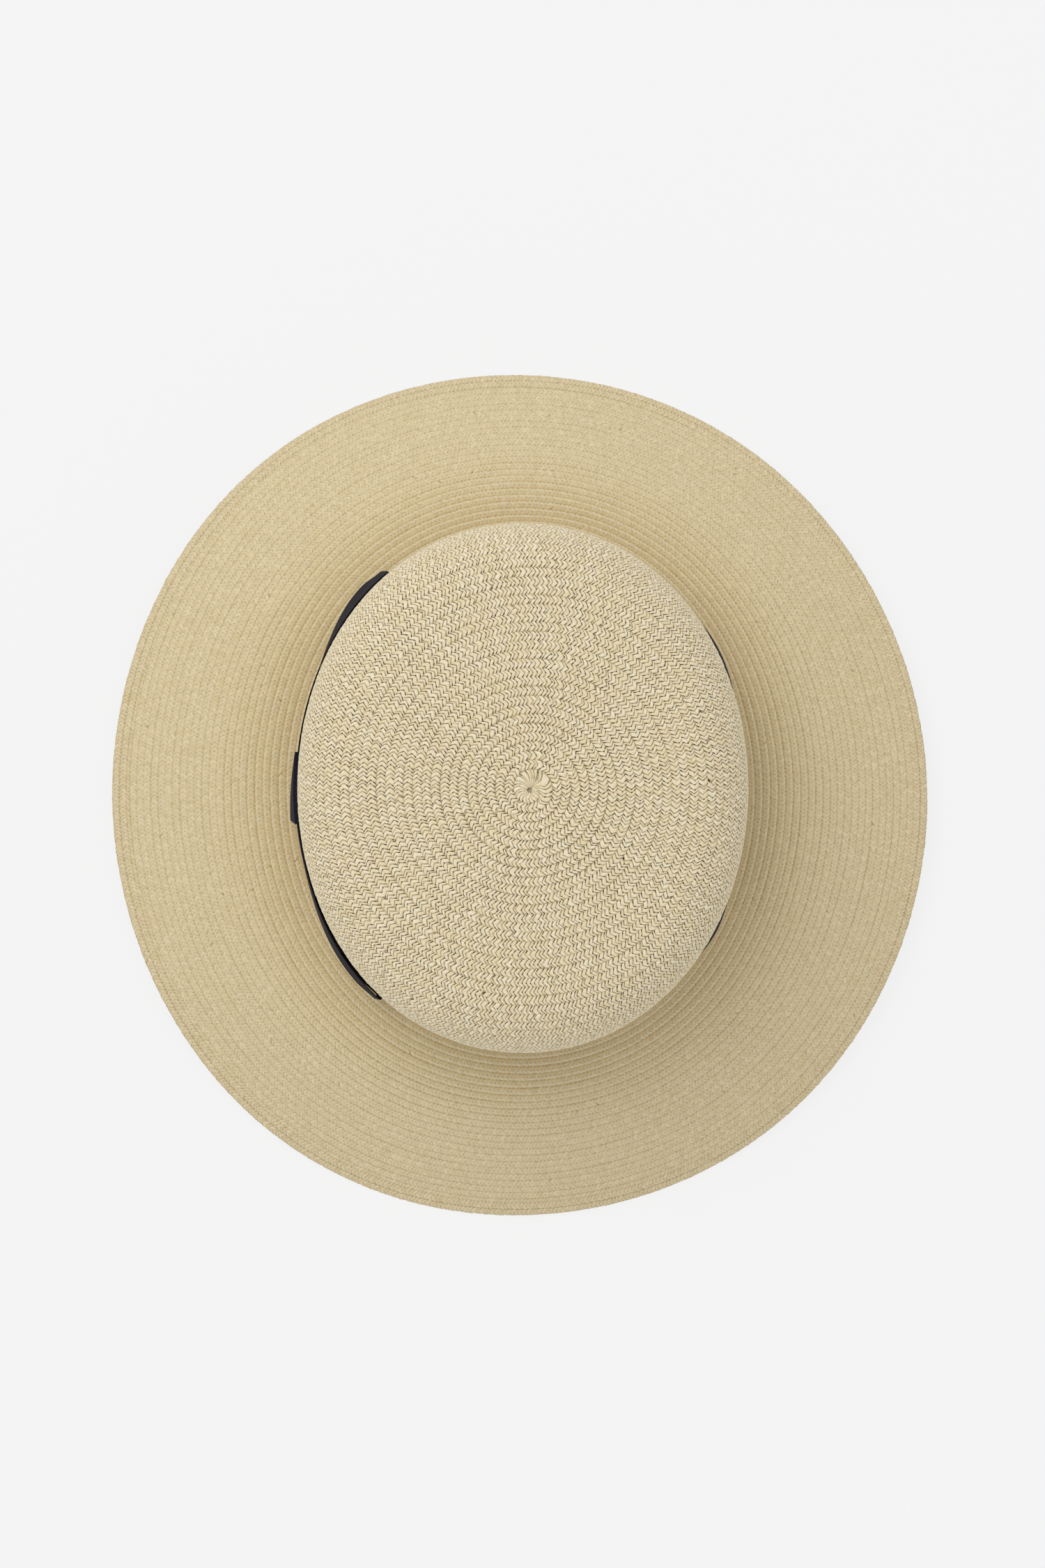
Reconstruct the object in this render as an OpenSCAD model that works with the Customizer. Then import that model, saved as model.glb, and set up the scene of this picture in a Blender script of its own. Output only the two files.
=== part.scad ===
// Wide-brimmed sun hat of sewn paper braid, with a ribbon band and a flat bow.
// Millimetres. Z is up, +Y is the front of the hat, and the bow is on the wearer's left, at -X.
// The origin is on the surface the hat stands on, under the middle of the brim.

/* [Head] */
// Width of the opening inside the sweatband, from ear to ear
head_w = 167; // [155:0.5:180]
// Length of the opening inside the sweatband, from brow to nape
head_l = 196; // [182:0.5:210]
// How much fuller the opening is at its four diagonals than a true ellipse, as a share
fullness = 0.008; // [0:0.001:0.02]

/* [Braid] */
// Thickness of the wall of overlapped braid rows
wall = 1.5; // [1:0.1:2.2]

/* [Crown] */
// Height of the crown above the line where it meets the brim
crown_h = 105; // [90:1:125]
// How far the side leans in between the brim and the shoulder
crown_taper = 3.4; // [0:0.1:7]
// Radius of the shoulder between the side and the top
shoulder_r = 24; // [16:1:30]
// Angle that the shoulder turns through before the domed tip begins
shoulder_turn = 80; // [60:1:84]
// Rise of the tip above the end of the shoulder
dome_h = 5.5; // [2:0.5:8]
// Middle of the crown, to the right of the middle of the brim
crown_x = 1.2; // [-4:0.1:4]
// Middle of the crown, ahead of the middle of the brim
crown_y = 3; // [-6:0.1:6]
// Start of the braid's spiral, to the right of the middle of the crown
start_x = 2.9; // [-6:0.1:6]
// Start of the braid's spiral, ahead of the middle of the crown
start_y = -0.2; // [-6:0.1:6]

/* [Brim] */
// Mean radius of the brim's edge
brim_r = 166; // [155:0.5:180]
// How much longer than its mean radius the brim is fore and aft, and shorter at the sides
brim_long = 3.4; // [0:0.1:6]
// Direction of the brim's long axis, in degrees from the wearer's right
brim_axis = 95; // [80:1:100]
// How far the hand-cut edge of the brim wanders in and out of its oval
edge_wander = 0.6; // [0:0.1:1]
// Height from the standing surface to the line where the crown meets the brim
brim_drop = 52; // [40:1:60]
// How high the brim's edge is lifted at the two sides
side_lift = 11; // [4:0.5:16]
// Slope of the brim beside the crown, as a share of its mean slope
first_slope = 0.78; // [0.5:0.01:1]
// Radius of the turn from the crown's side into the brim
turn_r = 4; // [2.5:0.5:6]
// Width of the folded row that closes the brim's edge
edge_w = 6; // [5:0.5:9]
// Thickness of each leg of that folded row
edge_leg = 0.8; // [0.6:0.1:1.2]
// Diameter of the wire in the brim's edge
wire_d = 1; // [0.8:0.1:1.2]
// Wall of the sleeve that joins the two ends of the wire
sleeve_wall = 0.2; // [0.1:0.05:0.25]
// Half the angle that the wire's sleeve covers at the back
sleeve_span = 5; // [5:5:10]

/* [Sweatband] */
// Height of the sweatband
sweat_h = 32; // [25:1:38]
// Thickness of the sweatband
sweat_t = 0.8; // [0.6:0.1:1.4]
// Half the angle that the tab over the sweatband's join covers
tab_span = 4; // [3:0.5:6]
// Thickness of that tab
tab_t = 0.7; // [0.4:0.1:1]
// Width of the bare size label
label_w = 30; // [20:1:36]
// Height of the bare size label
label_h = 14; // [10:1:16]
// Thickness of the bare size label
label_t = 0.3; // [0.2:0.05:0.5]
// Length of one stitch of the sweatband's seam
stitch_l = 2.6; // [2:0.1:4]
// Thickness of the sweatband's thread
thread_d = 0.4; // [0.3:0.05:0.5]
// Height of that seam above the lower edge of the sweatband
seam_up = 2; // [1.5:0.1:3]

/* [Ribbon] */
// Width of the ribbon
ribbon_w = 26; // [20:1:32]
// Thickness of the ribbon
ribbon_t = 0.5; // [0.3:0.05:0.7]
// Height of the ribbon's lower edge above the turn of the brim
ribbon_up = 1; // [0.8:0.1:4]
// Height of one of the small thread tacks that hold the band
tack_l = 3; // [2:0.5:5]

/* [Bow] */
// Angle at which the middle of the bow sits, in degrees from the wearer's right
bow_at = 180; // [175:1:185]
// Angle covered by the front loop, from the middle of the knot
front_span = 54; // [46:1:60]
// Angle covered by the rear loop, from the middle of the knot
rear_span = 52; // [46:1:60]
// Gap between the two layers of a loop at its upper edge, where it is widest
loop_open = 1.8; // [1.2:0.1:3]
// Gap between the two layers of a loop under the knot
loop_flat = 0.8; // [0.5:0.1:1]
// How much further out a loop's lower edge stands than its upper edge, where it is widest
loop_flare = 3.2; // [1:0.1:4]
// Width of the knot along the band
knot_w = 26; // [20:0.5:30]
// How much further out the knot's lower edge stands than its upper edge
knot_flare = 2.6; // [1:0.1:3.2]

/* [Hidden] */

straw = [0.80, 0.74, 0.60];
straw_edge = [0.76, 0.69, 0.54];
navy = [0.10, 0.10, 0.15];
navy_light = [0.15, 0.15, 0.21];
cream = [0.86, 0.82, 0.72];
thread_c = [0.93, 0.91, 0.84];
steel = [0.62, 0.63, 0.65];

seat = 0.1;                     // clearance between sewn layers
step = 5;                       // angle between two sections of every ring
steps = 360 / step;
tick = 0.01;                    // small angle used to find a direction
back_at = 270;                  // the nape, where wire and sweatband are joined
label_at = 225;                 // the size label's place, behind the left ear
tack_angles = [20, 90, 250, 335];

// ---- The oval of the head and the crown ----

half_w = head_w / 2 + sweat_t + seat + wall / 2;    // to the middle of the wall
half_l = head_l / 2 + sweat_t + seat + wall / 2;

// Middle of the crown's wall at its foot, at angle t round the oval
function oval(t) = let (f = 1 + fullness * pow(sin(2 * t), 2))
    [crown_x + half_w * cos(t) * f, crown_y + half_l * sin(t) * f];
// Outward direction there
function out(t) = let (d = oval(t + tick) - oval(t - tick)) [d[1], -d[0]] / norm(d);
// Length of the oval per degree there
function pace(t) = norm(oval(t + tick) - oval(t - tick)) / (2 * tick);

foot_z = brim_drop + turn_r;                        // where side and brim meet
tip_z = brim_drop + crown_h - wall / 2 - dome_h;    // end of the shoulder
shoulder_z = tip_z - shoulder_r * sin(shoulder_turn);
function lean(z) = crown_taper * (z - foot_z) / (shoulder_z - foot_z);

// A point beside the crown's straight side: h outward from the middle of the wall, at height z
function beside(t, h, z) = let (p = oval(t) + (h - lean(z)) * out(t)) [p[0], p[1], z];

// A point on the shoulder at its turn a, h outward from the middle of the wall
function shoulder(t, a, h) = let (
        s = -crown_taper - shoulder_r * (1 - cos(a)) + h * cos(a),
        p = oval(t) + s * out(t))
    [p[0], p[1], shoulder_z + (shoulder_r + h) * sin(a)];

// A point on the tip, k of the way from the braid's start to the shoulder
start = [crown_x + start_x, crown_y + start_y];
function tip(t, k, h) = let (
        a = 90 - (90 - shoulder_turn) * k,
        rim = oval(t) + (-crown_taper - shoulder_r * (1 - cos(shoulder_turn))) * out(t),
        p = start + k * (rim - start) + h * cos(a) * out(t))
    [p[0], p[1], tip_z + dome_h * (1 - k * k) + h * sin(a)];

// ---- The brim ----

edge_t = wall + 2 * seat + 2 * edge_leg;            // thickness of the folded edge row
// The edge's wander at angle t: a slow shift with three smaller waves on it
function wander(t) = edge_wander * (0.9 * cos(t + 172) + 0.9 * cos(3 * (t + 3)) + 0.6 * cos(4 * (t + 41))
    + 0.45 * cos(6 * (t - 3)));
function edge_radius(t) = brim_r + brim_long * cos(2 * (t - brim_axis)) + wander(t) - edge_t / 2;
// Share of the side lift at angle t: none along the front and the back, where the hat stands
function lift_share(t) = let (w = max(0, (abs(cos(t)) - 0.35) / 0.65)) w * w * (3 - 2 * w);
function edge_z(t) = edge_t / 2 + side_lift * lift_share(t);
function edge_plan(t) = edge_radius(t) * [cos(t), sin(t)];

// Height of the brim's middle surface, u of the way out
function brim_z(t, u) = brim_drop
    - (brim_drop - edge_z(t)) * (first_slope * u + (1 - first_slope) * u * u);
function brim_slope(t, u) = -(brim_drop - edge_z(t)) * (first_slope + 2 * (1 - first_slope) * u);

// The middle surface itself: the turn takes v from -1 to 0, and the slope v from 0 to 1
function brim_mid(t, v) = let (
        a = oval(t),
        b = edge_plan(t),
        u_turn = turn_r / norm(b - a),
        w = v + 1,
        u = v < 0 ? u_turn * w * w : u_turn + (1 - u_turn) * v,
        z_end = brim_z(t, u_turn),
        z_bend = z_end - brim_slope(t, u_turn) * u_turn,
        z = v < 0 ? foot_z * (1 - w) * (1 - w) + z_bend * 2 * w * (1 - w) + z_end * w * w
            : brim_z(t, u),
        p = a + u * (b - a))
    [p[0], p[1], z];

// A point h above the middle surface, square to it
function brim_pt(t, v, h) = let (
        e = 0.001,
        lo = max(v - e, -1),
        hi = min(v + e, 1),
        across = brim_mid(t, hi) - brim_mid(t, lo),
        along = brim_mid(t + tick, v) - brim_mid(t - tick, v),
        n = v <= -1 ? [out(t)[0], out(t)[1], 0] : cross(across, along))
    brim_mid(t, v) + h * n / norm(n);

// Frame of the edge row: e mm outward of the brim's end along its slope, h mm above it
function edge_pt(t, e, h) = let (
        d = brim_mid(t, 1) - brim_mid(t, 0.99),
        along = brim_mid(t + tick, 1) - brim_mid(t - tick, 1),
        n = cross(d, along))
    brim_mid(t, 1) + e * d / norm(d) + h * n / norm(n);

wire_e = edge_t / 2 - edge_leg - seat - wire_d / 2 - sleeve_wall;   // the wire's place
plate_e = wire_e - wire_d / 2 - sleeve_wall - 2 * seat;             // the plate's end

// ---- Solids swept from points ----

// A closed ring: at(i, j) is point j of nj on section i of ni
module ring(at, ni, nj) {
    points = [for (i = [0:ni - 1], j = [0:nj - 1]) at(i, j)];
    faces = [for (i = [0:ni - 1], j = [0:nj - 1]) let (
            p = i * nj + j,
            q = i * nj + (j + 1) % nj,
            r = ((i + 1) % ni) * nj + (j + 1) % nj,
            s = ((i + 1) % ni) * nj + j)
        each [[p, r, q], [p, s, r]]];
    polyhedron(points, faces);
}

// An open strip: the same, with its first and last sections closed
module strip(at, ni, nj) {
    points = [for (i = [0:ni - 1], j = [0:nj - 1]) at(i, j)];
    sides = [for (i = [0:ni - 2], j = [0:nj - 1]) let (
            p = i * nj + j,
            q = i * nj + (j + 1) % nj,
            r = (i + 1) * nj + (j + 1) % nj,
            s = (i + 1) * nj + j)
        each [[p, r, q], [p, s, r]]];
    first = [[for (j = [0:nj - 1]) j]];
    last = [[for (j = [nj - 1:-1:0]) (ni - 1) * nj + j]];
    polyhedron(points, concat(sides, first, last));
}

// A band beside the crown's side, from h0 to h1 and z0 to z1, all the way round
module side_ring(h0, h1, z0, z1) {
    section = [[h0, z0], [h0, z1], [h1, z1], [h1, z0]];
    ring(function (i, j) beside(i * step, section[j][0], section[j][1]), steps, 4);
}

// A patch of that band, between two angles
module side_patch(h0, h1, z0, z1, t0, t1) {
    section = [[h0, z0], [h0, z1], [h1, z1], [h1, z0]];
    n = 5;
    strip(function (i, j) beside(t0 + (t1 - t0) * i / (n - 1), section[j][0], section[j][1]), n, 4);
}

// A short length of thread on the crown's side, flat on the surface at h
module thread_bar(t, h, z, length, height) {
    p = beside(t, h, z);
    d = out(t);
    translate(p) rotate([0, 0, atan2(d[1], d[0])])
        translate([-thread_d / 2, -length / 2, -height / 2]) cube([thread_d, length, height]);
}

// ---- Crown ----

// The flat top of the crown, where the braid's spiral starts
module crown_tip() {
    rings = 7;
    h = wall / 2;
    n = rings * steps;
    top = [for (r = [1:rings], i = [0:steps - 1]) tip(i * step, r / rings, h)];
    bottom = [for (r = [1:rings], i = [0:steps - 1]) tip(i * step, r / rings, -h)];
    centre = [tip(0, 0, h), tip(0, 0, -h)];
    between = [for (r = [0:rings - 2], i = [0:steps - 1]) let (
            a = r * steps + i,
            b = r * steps + (i + 1) % steps,
            c = b + steps,
            d = a + steps)
        each [[a, b, c], [a, c, d], [n + a, n + c, n + b], [n + a, n + d, n + c]]];
    middle = [for (i = [0:steps - 1]) let (b = (i + 1) % steps)
        each [[2 * n, b, i], [2 * n + 1, n + i, n + b]]];
    rim = [for (i = [0:steps - 1]) let (
            a = n - steps + i,
            b = n - steps + (i + 1) % steps)
        each [[a, b, n + b], [a, n + b, n + a]]];
    color(straw) polyhedron(concat(top, bottom, centre), concat(between, middle, rim));
}

// The rounded turn between the crown's side and its tip
module crown_shoulder() {
    h = wall / 2;
    n = 6;
    face = function (t, j, h) shoulder(t, shoulder_turn * j / n, h);
    color(straw) ring(function (i, j) j <= n ? face(i * step, j, -h)
        : face(i * step, 2 * n + 1 - j, h), steps, 2 * n + 2);
}

// The crown's upright side, from the brim to the shoulder
module crown_side() {
    color(straw) side_ring(-wall / 2, wall / 2, foot_z, shoulder_z);
}

// ---- Brim ----

// The sloping plate of the brim, from the turn at the crown to inside the edge row
module brim() {
    h = wall / 2;
    turn_n = 4;
    slope_n = 7;
    n = turn_n + slope_n;
    // Row j of one face, from the crown outward
    face = function (t, j, h) j < turn_n ? brim_pt(t, j / turn_n - 1, h)
        : j < n ? brim_pt(t, (j - turn_n) / slope_n, h) : edge_pt(t, plate_e, h);
    color(straw) ring(function (i, j) j <= n ? face(i * step, j, h)
        : face(i * step, 2 * n + 1 - j, -h), steps, 2 * n + 2);
}

// The last row of braid, folded over the edge of the plate and round the wire
module brim_edge_row() {
    r = edge_t / 2;
    slot = wall / 2 + seat;
    round_n = 6;
    nose = [for (k = [0:round_n]) let (a = 90 - 180 * k / round_n) [r * cos(a), r * sin(a)]];
    section = concat([[-edge_w, r]], nose,
        [[-edge_w, -r], [-edge_w, -slot], [r - edge_leg, -slot], [r - edge_leg, slot], [-edge_w, slot]]);
    color(straw_edge) ring(function (i, j) edge_pt(i * step, section[j][0], section[j][1]),
        steps, len(section));
}

// The wire that holds the brim's shape, its ends butted at the back
module brim_wire() {
    sides = 8;
    end_gap = 0.3;
    stops = concat([end_gap], [for (k = [1:steps - 1]) k * step], [360 - end_gap]);
    color(steel) strip(function (i, j) let (a = -360 * j / sides)
        edge_pt(back_at + stops[i], wire_e + wire_d / 2 * cos(a), wire_d / 2 * sin(a)),
        len(stops), sides);
}

// The sleeve over the two ends of the wire
module wire_sleeve() {
    sides = 8;
    bore = wire_d / 2 + seat / 2;
    body = bore + sleeve_wall;
    n = 2 * sleeve_span / step;
    color(steel) ring(function (i, j) let (
            a = -360 * i / sides,
            inner = j <= n,
            k = inner ? j : 2 * n + 1 - j,
            r = inner ? bore : body)
        edge_pt(back_at - sleeve_span + k * step, wire_e + r * cos(a), r * sin(a)),
        sides, 2 * n + 2);
}

// ---- Inside ----

sweat_h1 = -wall / 2 - seat;            // outer face of the sweatband
sweat_h0 = sweat_h1 - sweat_t;          // inner face of the sweatband
sweat_z0 = foot_z + seat;

module sweatband() {
    color(cream) side_ring(sweat_h0, sweat_h1, sweat_z0, sweat_z0 + sweat_h);
}

// The folded tab that covers the join of the sweatband at the nape
module sweatband_tab() {
    color(cream) side_patch(sweat_h0 - seat - tab_t, sweat_h0 - seat, sweat_z0, sweat_z0 + sweat_h,
        back_at - tab_span, back_at + tab_span);
}

// The seam along the lower edge of the sweatband, one stitch to each facet of the oval
module sweatband_stitches() {
    clear_of_tab = tab_span + stitch_l / pace(back_at);
    color(thread_c) for (i = [0:steps - 1]) let (t = (i + 0.5) * step)
        if (abs(t - back_at) > clear_of_tab)
            thread_bar(t, sweat_h0 - seat - thread_d, sweat_z0 + seam_up, stitch_l, thread_d);
}

// A bare label sewn on the sweatband
module size_label() {
    half = label_w / 2 / pace(label_at);
    z0 = sweat_z0 + sweat_h - label_h - seam_up;
    color(thread_c) side_patch(sweat_h0 - seat - label_t, sweat_h0 - seat, z0, z0 + label_h,
        label_at - half, label_at + half);
}

// ---- Ribbon ----

band_h0 = wall / 2 + seat;              // inner face of the band
band_h1 = band_h0 + ribbon_t;           // outer face of the band
band_z0 = foot_z + ribbon_up;
band_z1 = band_z0 + ribbon_w;

module hat_band() {
    color(navy) side_ring(band_h0, band_h1, band_z0, band_z1);
}

// Thread tacks over the upper edge of the band
module band_tacks() {
    color(navy_light) for (t = tack_angles)
        thread_bar(t, band_h1 + seat + thread_d, band_z1, thread_d, tack_l);
}

// ---- Bow ----

loop_h0 = band_h1 + seat + ribbon_t / 2;                // middle of a loop's inner layer
knot_h0 = loop_h0 + loop_flat + ribbon_t / 2 + seat;    // inner face of the knot's front

// Share of a flare at height z: all of it at the ribbon's lower edge and none at its upper edge
function low(z) = 1 - (z - band_z0) / ribbon_w;

// Middle line of a loop's upper edge seen from above, as [degrees from the knot, h, share of the
// flare]: out along the outer layer, round the fold at the end and back along the inner layer
run_n = 12;
fold_n = 6;
function loop_gap(s) = loop_flat + (loop_open - loop_flat) * pow(sin(90 * min(1, s * 1.25)), 2);
root_share = 0.2;
inner_share = 0.5;
function flare_share(s) = root_share + (1 - root_share) * pow(sin(90 * min(1, s * 1.25)), 2);
function loop_line(span, j) = let (
        root = ribbon_t,
        fold_r = loop_gap(1) / 2,
        reach = span - fold_r / pace(bow_at - span),
        s = min(j, run_n) / run_n,
        a = 90 - 180 * (j - run_n) / fold_n,
        back = (j - run_n - fold_n) / run_n)
    j <= run_n ? [root + (reach - root) * s, loop_h0 + loop_gap(s), flare_share(s)]
    : j < run_n + fold_n ? [reach + fold_r * cos(a) / pace(bow_at - span),
        loop_h0 + fold_r + fold_r * sin(a),
        inner_share + (1 - inner_share) * (1 + sin(a)) / 2]
    : [reach + (root - reach) * back, loop_h0, inner_share * flare_share(1 - back)];

// One loop: its ribbon stands on edge and flares out to its foot; side is -1 to the front and 1
// to the rear
module bow_loop(span, side) {
    n = 2 * run_n + fold_n + 1;
    at = function (j, z) let (p = loop_line(span, j))
        beside(bow_at + side * p[0], p[1] + p[2] * loop_flare * low(z), z);
    face = function (j, m, z) let (
            d = at(min(j + 1, n - 1), z) - at(max(j - 1, 0), z),
            q = [d[1], -d[0], 0] / norm([d[0], d[1]]))
        at(j, z) + q * m * ribbon_t / 2;
    section = [[-1, band_z0], [-1, band_z1], [1, band_z1], [1, band_z0]];
    strip(function (i, j) face(i, section[j][0], section[j][1]), n, 4);
}

module bow_front_loop() {
    color(navy) bow_loop(front_span, -1);
}

module bow_rear_loop() {
    color(navy) bow_loop(rear_span, 1);
}

// The wrapped knot: a channel over the band and the roots of both loops
module bow_knot() {
    half = knot_w / 2 / pace(bow_at);
    n = 7;
    lo = band_z0 - seat;
    hi = band_z1 + seat;
    back = function (z) knot_h0 + knot_flare * max(0, low(z));
    section = [[band_h0, lo - ribbon_t], [band_h0, lo], [back(lo), lo], [back(hi), hi],
        [band_h0, hi], [band_h0, hi + ribbon_t], [back(hi) + ribbon_t, hi + ribbon_t],
        [back(lo) + ribbon_t, lo - ribbon_t]];
    color(navy_light) strip(function (i, j)
        beside(bow_at - half + 2 * half * i / (n - 1), section[j][0], section[j][1]), n, 8);
}

crown_tip();
crown_shoulder();
crown_side();
brim();
brim_edge_row();
brim_wire();
wire_sleeve();
sweatband();
sweatband_tab();
sweatband_stitches();
size_label();
hat_band();
band_tacks();
bow_front_loop();
bow_rear_loop();
bow_knot();
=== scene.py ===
"""A wide-brimmed sun hat of sewn paper braid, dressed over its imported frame.

The braid is built as it is sewn: one flat plait laid in a spiral from the middle of the crown, over the
shoulder, down the side and out across the brim, with a folded row round the edge. Lengths are metres.
"""
import logging
import math
from dataclasses import dataclass, field
from enum import Enum
from typing import Sequence

import bpy
import numpy as np
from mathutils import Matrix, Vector


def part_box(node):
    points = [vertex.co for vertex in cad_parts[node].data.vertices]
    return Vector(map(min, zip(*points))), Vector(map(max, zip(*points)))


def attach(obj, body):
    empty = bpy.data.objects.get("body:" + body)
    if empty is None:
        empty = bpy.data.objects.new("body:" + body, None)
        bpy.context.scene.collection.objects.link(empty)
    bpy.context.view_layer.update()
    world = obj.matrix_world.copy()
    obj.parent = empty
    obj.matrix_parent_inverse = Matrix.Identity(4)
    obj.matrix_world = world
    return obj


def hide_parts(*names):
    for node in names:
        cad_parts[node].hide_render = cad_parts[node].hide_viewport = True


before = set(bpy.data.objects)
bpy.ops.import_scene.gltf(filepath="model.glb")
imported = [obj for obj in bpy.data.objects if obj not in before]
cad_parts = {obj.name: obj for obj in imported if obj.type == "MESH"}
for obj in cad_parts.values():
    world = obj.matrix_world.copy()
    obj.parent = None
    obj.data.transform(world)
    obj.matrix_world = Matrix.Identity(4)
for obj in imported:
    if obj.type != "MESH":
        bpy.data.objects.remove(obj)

LOG = logging.getLogger("sun_hat")
MM = 0.001
TAU = 2 * math.pi
ROOT = "root"
SEED = 7
TICK = 1e-4  # the small angle over which a direction is taken
SLACK = 1e-6  # keeps whole stitch numbers whole when they are rounded down
BAKE_MAP = "OFBake"
PLAIT = "plait"
Colour = tuple[float, float, float, float]


def srgb(red: float, green: float, blue: float) -> Colour:
    """Turns a screen colour into the linear colour that a shader takes.

    Args:
        red: Red, from 0 to 255.
        green: Green, from 0 to 255.
        blue: Blue, from 0 to 255.

    Returns:
        The linear colour with an alpha of 1.
    """
    parts = [value / 255 for value in (red, green, blue)]
    linear = [p / 12.92 if p <= 0.04045 else ((p + 0.055) / 1.055) ** 2.4 for p in parts]
    return (linear[0], linear[1], linear[2], 1.0)


def smooth(x: np.ndarray | float, low: float, high: float) -> np.ndarray:
    """Returns the smooth step of x from 0 at low to 1 at high."""
    w = np.clip((np.asarray(x, float) - low) / (high - low), 0, 1)
    return w * w * (3 - 2 * w)


def unit(vectors: np.ndarray) -> np.ndarray:
    """Returns vectors of the same directions, each 1 long."""
    return vectors / np.linalg.norm(vectors, axis=-1, keepdims=True)


def ribbing(count: int, high: float, low: float) -> np.ndarray:
    """Returns the heights of ribbed points, high and low in turn."""
    return np.where(np.arange(count) % 2 == 0, high, low)


# ---------------------------------------------------------------- meshes


def mesh_object(name: str, points: np.ndarray, quads: np.ndarray, uv: np.ndarray,
                plait: np.ndarray | None = None) -> bpy.types.Object:
    """Makes a smooth-shaded mesh object from arrays.

    Args:
        name: The piece's name.
        points: Vertex positions, one row of three each.
        quads: Vertex numbers, one row of four each.
        uv: The bake map's coordinates, one row of two for each corner of each face.
        plait: Stitch number, place across the row and row number of each vertex.

    Returns:
        The new object, linked to the scene.
    """
    mesh = bpy.data.meshes.new(name)
    mesh.vertices.add(len(points))
    mesh.vertices.foreach_set("co", points.astype(np.float32).ravel())
    mesh.loops.add(quads.size)
    mesh.loops.foreach_set("vertex_index", quads.astype(np.int32).ravel())
    mesh.polygons.add(len(quads))
    mesh.polygons.foreach_set("loop_start", np.arange(0, quads.size, 4, dtype=np.int32))
    mesh.polygons.foreach_set("loop_total", np.full(len(quads), 4, dtype=np.int32))
    mesh.polygons.foreach_set("use_smooth", np.ones(len(quads), dtype=bool))
    mesh.update(calc_edges=True)
    layer = mesh.uv_layers.new(name=BAKE_MAP)
    layer.data.foreach_set("uv", uv.astype(np.float32).ravel())
    if plait is not None:
        attribute = mesh.attributes.new(PLAIT, "FLOAT_VECTOR", "POINT")
        attribute.data.foreach_set("vector", plait.astype(np.float32).ravel())
    mesh.validate()
    obj = bpy.data.objects.new(name, mesh)
    bpy.context.scene.collection.objects.link(obj)
    return obj


def grid_object(name: str, grid: np.ndarray, wrap_rows: bool = False, wrap_columns: bool = False,
                plait: np.ndarray | None = None, aspect: float = 1.0,
                flip: bool = False, caps: bool = False) -> bpy.types.Object:
    """Makes one piece from a grid of points.

    The bake map cuts a long grid into bands and stacks them, so that a narrow piece fills its map.

    Args:
        name: The piece's name.
        grid: Points of shape (rows, columns, 3). Rows run along the piece and columns across it.
        wrap_rows: Whether the last row joins the first.
        wrap_columns: Whether the last column joins the first.
        plait: The plait coordinates, in the shape of grid.
        aspect: How many times longer than wide the piece is.
        flip: Whether the faces turn the other way.
        caps: Whether a tube of even columns is closed at its two ends.

    Returns:
        The new object.
    """
    rows, columns = grid.shape[:2]
    i = np.arange(rows if wrap_rows else rows - 1)
    j = np.arange(columns if wrap_columns else columns - 1)
    i, j = (a.ravel() for a in np.meshgrid(i, j, indexing="ij"))
    i2, j2 = (i + 1) % rows, (j + 1) % columns
    quads = np.stack([i * columns + j, i2 * columns + j, i2 * columns + j2, i * columns + j2], 1)
    bands = max(1, round(math.sqrt(aspect)))
    spans = len(np.unique(i))
    per_band = math.ceil(spans / bands)
    band = i // per_band
    wide = len(np.unique(j))
    inset = 0.04
    x0, x1 = (i - band * per_band) / per_band, (i + 1 - band * per_band) / per_band
    y0, y1 = j / wide, (j + 1) / wide
    corners = [(x0, y0), (x1, y0), (x1, y1), (x0, y1)]
    uv = np.stack([np.stack([inset / 2 + (1 - inset) * x,
                             (band + inset + (1 - 2 * inset) * y) / bands], 1)
                   for x, y in corners], 1)
    if caps:
        c = np.arange(columns // 2 - 1)
        lid = np.stack([c, c + 1, columns - 2 - c, columns - 1 - c], 1)
        quads = np.concatenate([quads, lid, lid[:, ::-1] + (rows - 1) * columns])
        spot = np.array([(0.0, 0.0), (0.005, 0.0), (0.005, 0.005), (0.0, 0.005)])
        uv = np.concatenate([uv, np.tile(spot, (2 * len(c), 1, 1))])
    if flip:
        quads, uv = quads[:, ::-1], uv[:, ::-1]
    flat_plait = None if plait is None else plait.reshape(-1, 3)
    return mesh_object(name, grid.reshape(-1, 3), quads, uv.reshape(-1, 2), flat_plait)


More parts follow.
